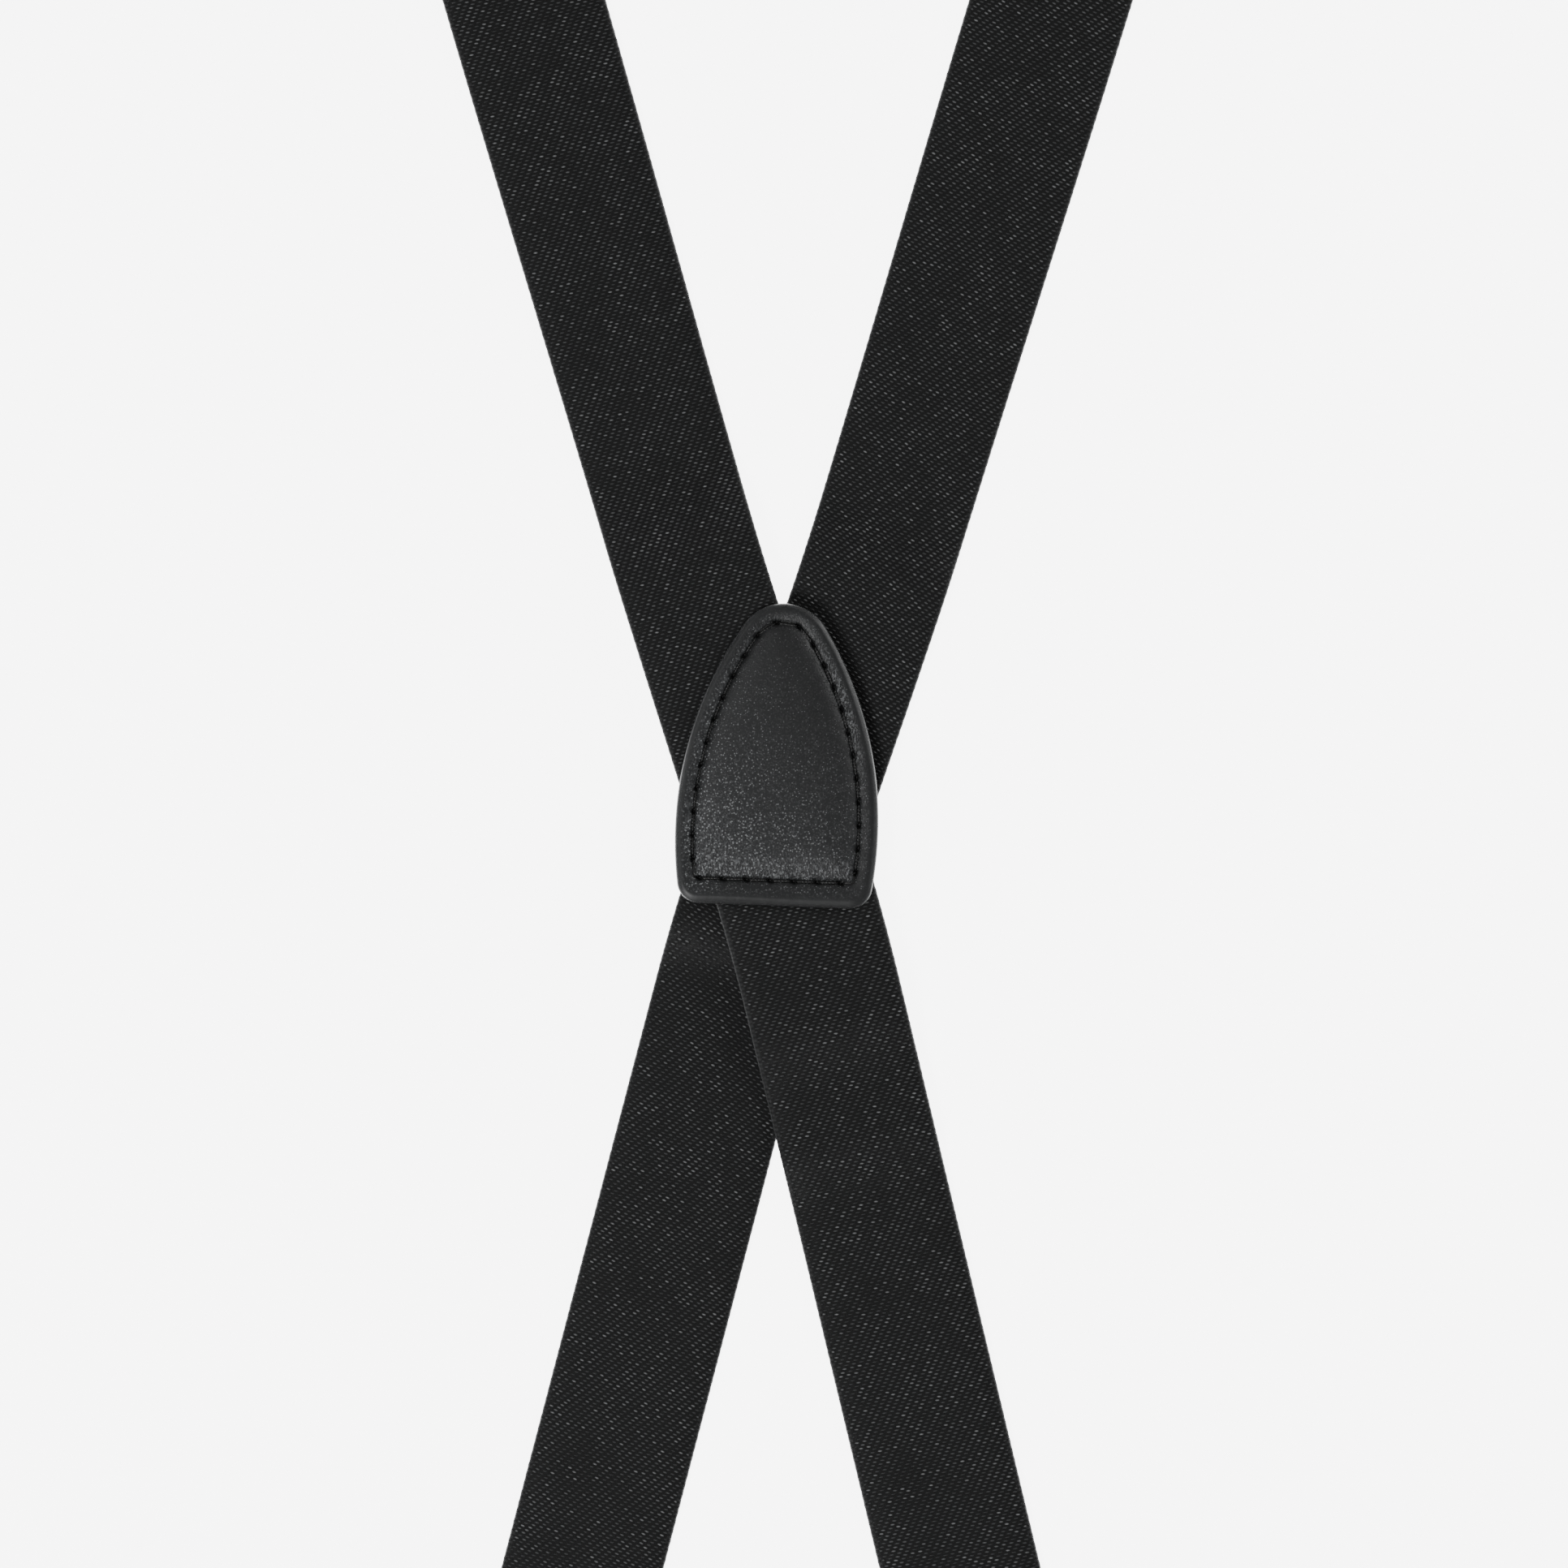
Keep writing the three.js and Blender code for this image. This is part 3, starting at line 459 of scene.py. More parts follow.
def deselect() -> None:
    """Leave nothing selected and nothing active."""
    for thing in bpy.context.view_layer.objects:
        thing.select_set(False)
    bpy.context.view_layer.objects.active = None


def activate(piece: bpy.types.Object) -> None:
    """Make a piece the only one selected."""
    deselect()
    piece.select_set(True)
    bpy.context.view_layer.objects.active = piece


def linked(name: str, mesh: bpy.types.Mesh) -> bpy.types.Object:
    """Put a mesh in the scene as an object of that name."""
    piece = bpy.data.objects.new(name, mesh)
    bpy.context.scene.collection.objects.link(piece)
    return piece


def mesh_piece(name: str, points: np.ndarray, faces: Iterable[Sequence[int]]) -> bpy.types.Object:
    """Make a smooth piece from points and faces, with its faces turned outwards.

    Args:
        name: The piece's name.
        points: Its points in metres, one row each.
        faces: Its faces as point numbers.

    Returns:
        The piece.
    """
    mesh = bpy.data.meshes.new(name)
    mesh.from_pydata([tuple(map(float, p)) for p in points], [], [tuple(f) for f in faces])
    shell = bmesh.new()
    shell.from_mesh(mesh)
    bmesh.ops.recalc_face_normals(shell, faces=shell.faces)
    shell.to_mesh(mesh)
    shell.free()
    mesh.shade_smooth()
    return linked(name, mesh)


def ring_faces(rings: int, count: int) -> list[tuple[int, ...]]:
    """Return the faces that join closed rings, one after another."""
    faces = []
    for i in range(rings - 1):
        for k in range(count):
            a, b = i * count + k, i * count + (k + 1) % count
            faces.append((a, b, b + count, a + count))
    return faces


def unit(vectors: np.ndarray) -> np.ndarray:
    """Return vectors at unit length."""
    return vectors / np.linalg.norm(vectors, axis=-1, keepdims=True)


def leftward(way: np.ndarray) -> np.ndarray:
    """Return the directions to the left of directions from above."""
    return np.stack([-way[..., 1], way[..., 0]], axis=-1)


def runs_along(line: np.ndarray) -> np.ndarray:
    """Return the distance run at each point of a line."""
    return np.concatenate([[0.0], np.cumsum(np.linalg.norm(np.diff(line, axis=0), axis=1))])


def places_along(line: np.ndarray, runs: np.ndarray, where: np.ndarray) -> np.ndarray:
    """Return the places on a line from above at given distances run."""
    return np.stack([np.interp(where, runs, line[:, k]) for k in (0, 1)], axis=1)


def set_weave(mesh: bpy.types.Mesh, across: np.ndarray, along: np.ndarray) -> None:
    """Give a mesh its map named weave, from each point's distances across and along."""
    layer = mesh.uv_layers.new(name="weave")
    corners = np.zeros(len(mesh.loops), dtype=np.int32)
    mesh.loops.foreach_get("vertex_index", corners)
    pairs = np.stack([across[corners], along[corners]], axis=1).astype(np.float32)
    layer.data.foreach_set("uv", pairs.ravel())


def set_number(mesh: bpy.types.Mesh, name: str, values: np.ndarray) -> None:
    """Give every point of a mesh a number under a name."""
    layer = mesh.attributes.new(name, "FLOAT", "POINT")
    layer.data.foreach_set("value", values.astype(np.float32))


def ease(share: np.ndarray | float) -> np.ndarray | float:
    """Return a smooth step of a share between 0 and 1."""
    held = np.clip(share, 0.0, 1.0)
    return held * held * (3.0 - 2.0 * held)


# ---- Webbing --------------------------------------------------------------------------------


@dataclass
class Levels:
    """Heights and lengths that the straps share, in millimetres."""

    thickness: float = 1.4
    gap: float = 0.3
    bar_radius: float = 1.0
    width: float = 25.6
    neck_width: float = 24.2
    neck_length: float = 110.0
    ramp: float = 11.0
    slack: float = 4.0
    patch_back: float = 1.1
    adjuster_plate: float = 1.2
    adjuster_before: float = 12.0
    adjuster_bar: float = 8.0
    parting: float = 1.85
    back_tail: float = 24.0
    front_tail: float = 18.0
    fold_ramp: float = 7.5
    fold_crest: float = 1.5

    @property
    def layer(self) -> float:
        """One thickness and the gap above it."""
        return self.thickness + self.gap

    @property
    def table(self) -> float:
        """Centre line of webbing on the table."""
        return self.thickness / 2

    @property
    def stacked(self) -> float:
        """Centre line of webbing on one layer."""
        return self.table + self.layer

    @property
    def bar_height(self) -> float:
        """Centre of the bars that the webbing folds over."""
        return self.thickness + self.gap + self.bar_radius

    @property
    def fold_radius(self) -> float:
        """Centre line of a fold."""
        return self.bar_radius + self.gap + self.thickness / 2

    @property
    def fold_top(self) -> float:
        """Centre line above a bar."""
        return self.bar_height + self.fold_radius

    @property
    def on_patch(self) -> float:
        """Centre line on the patch's back layer."""
        return self.patch_back + self.gap + self.thickness / 2

    @property
    def over_patch(self) -> float:
        """Centre line of the upper strap in the patch."""
        return self.on_patch + self.layer

    @property
    def through(self) -> float:
        """Centre line on an adjuster's base."""
        return self.adjuster_plate + self.gap + self.thickness / 2


LEVELS = Levels()


class SideLine:
    """The side view of a strap: distance along its plan line, and height."""

    CLIMB_STEP = 0.6
    FOLD_STEPS = 18

    def __init__(self, along: float, height: float) -> None:
        """Start at a point."""
        self.points: list[tuple[float, float]] = [(along, height)]

    def level(self, along: float) -> "SideLine":
        """Run level to a distance."""
        start, height = self.points[-1]
        count = max(1, round(abs(along - start) / PICK))
        self.points += [(start + (along - start) * k / count, height) for k in range(1, count + 1)]
        return self

    def climb(self, along: float, height: float) -> "SideLine":
        """Rise or drop in an S curve to a distance and height."""
        start, low = self.points[-1]
        middle = (start + along) / 2
        count = max(8, round(abs(along - start) / self.CLIMB_STEP))
        for k in range(1, count + 1):
            u = k / count
            v = 1 - u
            s = v**3 * start + 3 * v * v * u * middle + 3 * v * u * u * middle + u**3 * along
            self.points.append((s, low + (height - low) * (3 * u * u - 2 * u**3)))
        return self

    def fold(self, along: float, first: float, last: float) -> "SideLine":
        """Fold round a bar.

        Args:
            along: Where the bar is.
            first: Angle in degrees at the start.
            last: Angle at the end.

        Returns:
            The line.
        """
        radius = LEVELS.fold_radius
        for k in range(1, self.FOLD_STEPS + 1):
            angle = math.radians(first + (last - first) * k / self.FOLD_STEPS)
            spot = (along + radius * math.cos(angle), LEVELS.bar_height + radius * math.sin(angle))
            self.points.append(spot)
        return self


@dataclass
class PlanLine:
    """A strap's line from above, from its back clip's bar to its front clip's bar, in mm."""

    back_clip: str
    front_clip: str
    back_length: float = 215.0
    front_length: float = 590.0
    loop_length: float = 150.0
    bend: float = 16.0
    spots: np.ndarray = field(init=False)
    runs: np.ndarray = field(init=False)

    def __post_init__(self) -> None:
        """Trace the line through the two bars' places and headings."""
        back, back_way = clip_place(self.back_clip)
        front, front_way = clip_place(self.front_clip)
        back_corner = back - back_way * self.back_length
        front_corner = front - front_way * self.front_length
        under = unit(front_corner - back_corner)
        shares = np.linspace(0.0, 1.0, 65)[:, None]

        def turn(corner: np.ndarray, before: np.ndarray, after: np.ndarray) -> np.ndarray:
            """Return a rounded corner between two directions."""
            start, end = corner + before * self.bend, corner + after * self.bend
            kept = 1 - shares
            return kept**2 * start + 2 * kept * shares * corner + shares**2 * end

        bends = [turn(back_corner, back_way, under), turn(front_corner, -under, front_way)]
        self.spots = np.vstack([back[None], *bends, front[None]])
        self.runs = runs_along(self.spots)

    @property
    def length(self) -> float:
        """Length from bar to bar."""
        return float(self.runs[-1])

    @property
    def front_edge(self) -> float:
        """Distance at which the strap leaves the patch's front edge."""
        return self.length - self.front_length

    @property
    def adjuster(self) -> float:
        """Distance of the adjuster's middle."""
        return self.length - self.loop_length

    def spot(self, along: np.ndarray) -> np.ndarray:
        """Return places from above, run straight on beyond both ends."""
        place = places_along(self.spots, self.runs, np.clip(along, 0.0, self.length))
        place += np.minimum(along, 0.0)[:, None] * unit(self.spots[1] - self.spots[0])
        place += np.maximum(along - self.length, 0.0)[:, None] * unit(self.spots[-1] - self.spots[-2])
        return place

    def heading(self, along: np.ndarray) -> np.ndarray:
        """Return the direction along the line at each distance."""
        return unit(self.spot(along + 0.4) - self.spot(along - 0.4))

    def width(self, along: np.ndarray) -> np.ndarray:
        """Return the strap's width, drawn in where its front run leaves the patch."""
        ahead = ease((along - self.front_edge) / LEVELS.neck_length)
        behind = 1 - ease((along - self.back_length) / (self.front_edge - self.back_length))
        drawn = (1 - ahead) * (1 - behind)
        return LEVELS.width - (LEVELS.width - LEVELS.neck_width) * drawn

    def point(self, along: float) -> Vector:
        """Return the point on the table at a distance, in metres."""
        return Vector((*self.spot(np.array([along]))[0], 0.0)) * MM


def clip_place(clip: str) -> tuple[np.ndarray, np.ndarray]:
    """Return a clip's bar from above: its middle in mm and the direction into the clip."""
    joint = next(j for j in frame["joints"] if j["name"] == f"{clip}_clip_swivel")
    axis = joint["axis"]
    return np.array(joint["pos_m"][:2]) / MM, np.array([-axis[1], axis[0]])


@dataclass
class Webbing:
    """A length of webbing: one section with round selvedges, carried along a side line."""

    name: str
    plan: PlanLine
    side: SideLine
    flats: int = 10
    rounds: int = 5
    crown: float = 0.10
    selvedge_thin: float = 0.16
    pick_bite: float = 0.05
    start_run: float = 0.0

    def section(self) -> np.ndarray:
        """Return the section's points.

        Returns:
            Rows of (share of the flat half width, offset out past it in mm, height share).
        """
        flat = np.linspace(-1.0, 1.0, self.flats)
        angles = np.linspace(-math.pi / 2, math.pi / 2, self.rounds + 2)[1:-1]
        bottom = [(u, 0.0, -1.0) for u in flat]
        right = [(1.0, math.cos(a), math.sin(a)) for a in angles]
        top = [(u, 0.0, 1.0) for u in flat[::-1]]
        left = [(-1.0, -math.cos(a), -math.sin(a)) for a in angles]
        return np.array(bottom + right + top + left)

    def run_lengths(self) -> np.ndarray:
        """Return the distance run at each station of the side line, in mm."""
        return self.start_run + runs_along(np.array(self.side.points))

    def build(self) -> bpy.types.Object:
        """Return the webbing as one closed piece with its weave map."""
        line = np.array(self.side.points)
        section = self.section()
        rings, count = len(line), len(section)
        runs = self.run_lengths()
        normal = leftward(unit(np.gradient(line, axis=0)))
        spot, way = self.plan.spot(line[:, 0]), self.plan.heading(line[:, 0])
        left = leftward(way)
        half = self.plan.width(line[:, 0]) / 2
        radius = LEVELS.thickness / 2
        bite = self.pick_bite * (np.arange(rings) % 2)
        flat_half = half - radius
        share, out, rise = section[:, 0], section[:, 1], section[:, 2]
        sideways = flat_half[:, None] * share + (radius - bite)[:, None] * out
        depth = radius * rise * (1 - self.crown * share**2 - self.selvedge_thin * np.abs(share) ** 14)
        along = normal[:, :1] * depth
        height = line[:, 1:] + normal[:, 1:] * depth
        points = np.empty((rings, count, 3))
        for k in (0, 1):
            points[:, :, k] = spot[:, k : k + 1] + way[:, k : k + 1] * along + left[:, k : k + 1] * sideways
        points[:, :, 2] = height
        faces = ring_faces(rings, count)
        last = (rings - 1) * count
        faces += [tuple(range(count)), tuple(range(last, last + count))]
        piece = mesh_piece(self.name, points.reshape(-1, 3) * MM, faces)
        across = -sideways / half[:, None] * LEVELS.width / 2
        set_weave(piece.data, across.ravel() * MM, np.repeat(runs, count) * MM)
        return piece


@dataclass
class Strap:
    """One strap: the long run from its back loop to its adjuster, and its front loop."""

    side: str
    back_clip: str
    over: bool
    wardrobe: Wardrobe
    crossing_behind: float = 38.0
    crossing_ahead: float = 4.0
    still_ahead: float = 60.0
    still_clip: float = 12.0
    back_rows: tuple[float, float] = (16.0, 20.5)
    front_rows: tuple[float, float] = (11.0, 15.0)
    thread_out: float = 0.06
    thread_in: float = 0.02
    plan: PlanLine = field(init=False)

    def __post_init__(self) -> None:
        """Trace the plan line."""
        self.plan = PlanLine(self.back_clip, f"front_{self.side}")

    def long_side(self) -> SideLine:
        """Return the side line from the sewn back tail to the parting in the adjuster."""
        lv, plan = LEVELS, self.plan
        line = SideLine(lv.back_tail, lv.table).level(0.0).fold(0.0, -90.0, -270.0)
        line.climb(lv.ramp, lv.stacked).level(lv.back_tail + lv.slack)
        line.climb(lv.back_tail + lv.slack + lv.ramp, lv.table)
        if self.over:
            behind, ahead = self.crossing_behind, self.crossing_ahead
            line.level(plan.back_length - behind - lv.ramp).climb(plan.back_length - behind, lv.stacked)
            line.level(plan.back_length - 2 * lv.ramp - 2 * lv.slack)
            line.climb(plan.back_length - lv.ramp - 2 * lv.slack, lv.over_patch)
            line.level(plan.front_edge + ahead).climb(plan.front_edge + ahead + 2 * lv.ramp, lv.table)
        else:
            line.level(plan.back_length - lv.slack - lv.ramp)
            line.climb(plan.back_length - lv.slack, lv.on_patch).level(plan.front_edge + lv.slack)
            line.climb(plan.front_edge + lv.slack + lv.ramp, lv.table)
        line.level(plan.adjuster - lv.adjuster_before - lv.ramp)
        line.climb(plan.adjuster - lv.adjuster_before, lv.through)
        return line.level(plan.adjuster - lv.parting)

    def loop_side(self) -> SideLine:
        """Return the side line of the front loop, from the parting to its sewn tail."""
        lv, plan = LEVELS, self.plan
        bar = plan.adjuster + lv.adjuster_bar
        tail = bar + lv.front_tail
        ramp, crest = lv.fold_ramp, lv.fold_crest
        line = SideLine(plan.adjuster - lv.parting, lv.through).level(bar - crest - ramp)
        line.climb(bar - crest, lv.fold_top + lv.layer).level(bar + crest)
        line.climb(bar + crest + ramp, lv.stacked + lv.layer).level(tail + crest)
        line.climb(tail + crest + ramp, lv.stacked).level(plan.length - crest - ramp)
        line.climb(plan.length - crest, lv.fold_top).level(plan.length)
        line.fold(plan.length, 90.0, -90.0).level(bar).fold(bar, -90.0, -270.0)
        return line.climb(bar + ramp, lv.stacked).level(tail)

    def build(self) -> list[bpy.types.Object]:
        """Make the strap and its front loop and dress them.

        Returns:
            The two pieces.
        """
        lv, plan = LEVELS, self.plan
        long_run = Webbing(f"{self.side}_strap_webbing", plan, self.long_side())
        strap = self.wardrobe.dress(long_run.build(), Slot.WEBBING)
        runs = [f"{self.side}_strap_{run}" for run in ("back", "crossing", "front")]
        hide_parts(*runs, f"{self.back_clip}_loop")
        start = plan.point(plan.front_edge + self.still_ahead)
        end = plan.point(plan.adjuster - lv.adjuster_before - lv.ramp - lv.slack)
        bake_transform(strap)
        cut = float(long_run.run_lengths()[-1])
        front = Webbing(f"{self.side}_front_loop_webbing", plan, self.loop_side(), start_run=cut)
        loop = self.wardrobe.dress(front.build(), Slot.WEBBING)
        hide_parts(f"front_{self.side}_loop")
        tail = plan.adjuster + lv.adjuster_bar + lv.front_tail
        start = plan.point(tail + lv.fold_crest + lv.fold_ramp)
        end = plan.point(plan.length - self.still_clip)
        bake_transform(loop)
        return [strap, loop]

    def sew(self) -> list[bpy.types.Object]:
        """Sew the strap's tails.

        Returns:
            The seam on the back tail, the seam under it and the seam under the front tail.
        """
        bar = self.plan.adjuster + LEVELS.adjuster_bar
        front_rows = tuple(bar + row for row in self.front_rows)
        top = LEVELS.stacked + LEVELS.thickness / 2 - self.thread_in
        seams = [
            (f"{self.back_clip}_loop_stitches", self.back_rows, top, 1.0, "root"),
            (f"{self.back_clip}_loop_under_stitches", self.back_rows, self.thread_out, -1.0, "root"),
            (f"{self.side}_front_tail_stitches", front_rows, self.thread_out, -1.0, f"{self.side}_adjuster"),
        ]
        return [LoopSeam(self.plan, *seam).build(self.wardrobe) for seam in seams]


# ---- Thread ---------------------------------------------------------------------------------


@dataclass
class Stitch:
    """One stitch of twisted thread, its two ends sunk into their needle holes."""

    length: float = 2.9
    radius: float = 0.22
    sink: float = 0.5
    ridge: float = 0.16
    turns: float = 2.4
    around: int = 12
    stations: int = 13

    def shape(self) -> tuple[np.ndarray, list[tuple[int, ...]], np.ndarray, np.ndarray]:
        """Model the stitch along X, its top up, about its middle.

        Returns:
            Its points in mm, faces, and the weave map's two numbers.
        """
        shares = np.linspace(-1.0, 1.0, self.stations)
        angles = np.arange(self.around) * 2 * math.pi / self.around
        points = []
        for share in shares:
            taper = math.sqrt(max(1 - abs(share) ** 5, 0.02))
            centre = np.array([share * self.length / 2, 0.0, -self.sink * abs(share) ** 3.2])
            twist = share * self.turns * math.pi
            radius = self.radius * taper * (1 + self.ridge * np.cos(2 * (angles - twist)))
            ring = np.stack([np.zeros(self.around), radius * np.cos(angles), radius * np.sin(angles)], 1)
            points.append(centre + ring)
        faces = ring_faces(self.stations, self.around)
        last = (self.stations - 1) * self.around
        faces += [tuple(range(self.around)), tuple(range(last, last + self.around))]
        across = np.tile(angles / (2 * math.pi), self.stations)
        along = np.repeat(shares * self.length / 2, self.around)
        return np.vstack(points), faces, across, along * MM


@dataclass
class SewnRow:
    """Stitches set one after another as a single piece."""

    name: str
    stitch: Stitch
    frames: list[tuple[np.ndarray, np.ndarray, np.ndarray]]

    def build(self, wardrobe: Wardrobe) -> bpy.types.Object:
        """Return a copy of the stitch at each frame, as one dressed piece."""
        shape, faces, across, along = self.stitch.shape()
        points, all_faces = [], []
        for k, (middle, way, up) in enumerate(self.frames):
            side = np.cross(up, way)
            turned = shape[:, :1] * way + shape[:, 1:2] * side + shape[:, 2:] * up
            points.append(turned + middle)
            all_faces += [tuple(i + k * len(shape) for i in face) for face in faces]
        piece = mesh_piece(self.name, np.vstack(points) * MM, all_faces)
        count = len(self.frames)
        set_weave(piece.data, np.tile(across, count), np.tile(along, count))
        return wardrobe.dress(piece, Slot.THREAD)


@dataclass
class LoopSeam:
    """Two rows of stitches across a sewn tail."""

    plan: PlanLine
    name: str
    rows: tuple[float, float]
    height: float
    facing: float
    body: str
    count: int = 7
    pitch: float = 3.1

    def build(self, wardrobe: Wardrobe) -> bpy.types.Object:
        """Return the sewn rows, tied to their body."""
        frames = []
        for row in self.rows:
            at = np.array([row])
            left = np.array([*leftward(self.plan.heading(at)[0]), 0.0])
            for k in range(self.count):
                offset = (k - (self.count - 1) / 2) * self.pitch
                middle = np.array([*self.plan.spot(at)[0], self.height]) + left * offset
                frames.append((middle, left, np.array([0.0, 0.0, self.facing])))
        stitch = Stitch(length=2.5, radius=0.26, sink=0.35)
        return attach(SewnRow(self.name, stitch, frames).build(wardrobe), self.body)


# ---- Leather patch --------------------------------------------------------------------------


@dataclass
class Ring:
    """One ring of a leather layer: its places from above, heights, inset and panel share."""

    flat: np.ndarray
    height: np.ndarray
    inset: float
    panel: float = 0.0


@dataclass
class Patch:
    """The stitched crossing patch: back layer, padded front layer and seam thread."""

    wardrobe: Wardrobe
    width: float = 32.9
    length: float = 49.0
    waist: float = 12.4
    apex_radius: float = 7.92
    corner_radius: float = 3.6
    sharp: float = 0.6
    seam_inset: float = 3.0
    seam_foot: float = 4.1
    seam_shift: float = -0.15
    bottom: float = 4.8
    thickness: float = 1.2
    back_thickness: float = 1.1
    dome: float = 1.05
    turn: float = 2.2
    stitch_pitch: float = 3.86
    slot_slant: float = -18.0
    slot: tuple[float, float] = (0.62, 0.34)
    slot_depth: float = 0.55
    dimple: tuple[float, float] = (1.5, 1.0)
    dimple_depth: float = 0.10
    groove_depth: float = 0.3
    groove_width: float = 0.3
    puff: float = 0.16
    puff_width: float = 2.5
    panel_edge: float = 3.3
    deepest: float = 7.2
    middle_rings: int = 16
    centre: tuple[float, float] = (-0.15, -8.0)
    aside: float = 0.2
    filled: float = 0.87
    thread_in: float = 0.15
    thread_out: float = 0.06
    side_points: int = 200
    apex_points: int = 84
    corner_points: int = 30
    foot_points: int = 120

    def outline(self, inset: float) -> np.ndarray:
        """Trace the patch's edge, moved in.

        Args:
            inset: Distance in from the edge, in mm.

        Returns:
            Points round the outline, one row each.
        """
        scale = self.seam_foot / self.seam_inset
        foot = inset * scale if inset < self.seam_inset else inset + self.seam_foot - self.seam_inset
        half = self.width / 2
        apex_y = self.length / 2 - self.apex_radius
        rise = apex_y + self.waist
        gap = half - self.apex_radius
        side_radius = (half**2 + rise**2 - self.apex_radius**2) / (2 * gap)
        centre_x = side_radius - half
        radius = side_radius - inset
        lean = math.atan2(rise, centre_x)
        corner = max(self.corner_radius - inset, self.sharp)
        corner_y = -self.length / 2 + foot + corner
        fall = math.asin((-self.waist - corner_y) / (radius - corner))
        corner_x = (radius - corner) * math.cos(fall) - centre_x

        def arc(x: float, y: float, r: float, first: float, last: float, count: int) -> np.ndarray:
            """Return points on an arc about a centre."""
            angles = np.linspace(first, last, count, endpoint=False)
            return np.stack([x + r * np.cos(angles), y + r * np.sin(angles)], axis=1)

        line = np.linspace(-corner_x, corner_x, self.foot_points, endpoint=False)
        pieces = [
            arc(-centre_x, -self.waist, radius, -fall, lean, self.side_points),
            arc(0.0, apex_y, self.apex_radius - inset, lean, math.pi - lean, self.apex_points),
            arc(centre_x, -self.waist, radius, math.pi - lean, math.pi + fall, self.side_points),
            arc(-corner_x, corner_y, corner, math.pi + fall, 1.5 * math.pi, self.corner_points),
            np.stack([line, np.full_like(line, corner_y - corner)], axis=1),
            arc(corner_x, corner_y, corner, 1.5 * math.pi, 2 * math.pi - fall, self.corner_points),
        ]
        ring = np.vstack(pieces)
        ring[:, 0] += self.seam_shift * float(ease(inset / 2.4))
        return ring

    def placed(self, flat: np.ndarray) -> np.ndarray:
        """Turn points from above by the patch's lean."""
        angle = -math.radians(self.turn)
        spin = np.array([[math.cos(angle), -math.sin(angle)], [math.sin(angle), math.cos(angle)]])
        turned = flat.copy()
        turned[:, :2] = flat[:, :2] @ spin.T
        turned[:, 0] += self.aside
        return turned

    def seam_marks(self) -> tuple[np.ndarray, np.ndarray]:
        """Share out the needle holes evenly along the seam.

        Returns:
            Hole places, one row each, and the direction of the seam at each.
        """
        ring = self.outline(self.seam_inset)
        closed = np.vstack([ring, ring[:1]])
        runs = runs_along(closed)
        count = round(runs[-1] / self.stitch_pitch)
        at = (np.arange(count) + 0.35) * runs[-1] / count
        ahead, behind = (places_along(closed, runs, np.mod(at + step, runs[-1])) for step in (0.3, -0.3))
        return places_along(closed, runs, np.mod(at, runs[-1])), unit(ahead - behind)

    def unevenness(self, flat: np.ndarray) -> np.ndarray:
        """Return the slight hand-made waviness of the leather at places from above, in mm."""
        x, y = flat[:, 0], flat[:, 1]
        slow = np.sin(0.31 * x + 0.17 * y + 0.8) + np.sin(0.13 * x - 0.29 * y + 2.1)
        return 0.028 * slow + 0.012 * np.sin(1.15 * x - 0.6 * y) * np.sin(0.9 * y + 0.7 * x)

    def level_rings(self, profile: list[tuple[float, float]]) -> list[Ring]:
        """Return level rings from pairs of inset and height."""
        flats = [(self.outline(inset), height, inset) for inset, height in profile]
        return [Ring(flat, np.full(len(flat), height), inset) for flat, height, inset in flats]

    def front_rings(self) -> list[Ring]:
        """Lay out the front layer's rings, from under the edge to the panel's middle."""
        edge = [(0.9, 0.0), (0.45, 0.02), (0.15, 0.12), (0.02, 0.34), (0.0, 0.58), (0.04, 0.80)]
        edge += [(0.15, 0.98), (0.32, 1.12), (0.52, 1.22)]
        rings = self.level_rings([(inset, self.bottom + rise) for inset, rise in edge])
        insets = [0.75, 1.0, 1.3, 1.6, 1.85, 2.05, 2.2, 2.33, 2.46, 2.6, 2.73, 2.86, 3.0, 3.13, 3.26]
        insets += [3.4, 3.53, 3.66, 3.8, 3.98, 4.2, 4.45, 4.75, 5.1, 5.5, 6.0, 6.6, self.deepest]
        for inset in insets:
            flat = self.outline(inset)
            rings.append(Ring(flat, self.relief(flat, inset), inset, float(ease((inset - 3.1) / 0.5))))
        last, middle = rings[-1].flat, np.array(self.centre)
        for k in range(1, self.middle_rings + 1):
            share = 1 - k / self.middle_rings * 0.985
            flat = middle + (last - middle) * share
            inset = self.deepest + (1 - share) * (self.width / 2 - self.deepest)
            rings.append(Ring(flat, self.relief(flat, inset), inset, 1.0))
        return rings

    def slots(self, flat: np.ndarray, half_long: float, half_wide: float) -> np.ndarray:
        """Mark the needle slots, each cut at a slant to the seam.

        Args:
            flat: Places from above.
            half_long: Half a slot's length.
            half_wide: Half its width.

        Returns:
            A share for each place, 1 in the middle of a slot.
        """
        holes, way = self.seam_marks()
        slant = math.radians(self.slot_slant)
        turn = np.array([[math.cos(slant), -math.sin(slant)], [math.sin(slant), math.cos(slant)]])
        cut = way @ turn.T
        apart = flat[:, None, :] - holes[None, :, :]
        long = (apart * cut[None]).sum(axis=2)
        wide = apart[:, :, 0] * cut[None, :, 1] - apart[:, :, 1] * cut[None, :, 0]
        far = (long / half_long) ** 2 + (wide / half_wide) ** 2
        return np.exp(-(far.min(axis=1) ** 1.5))

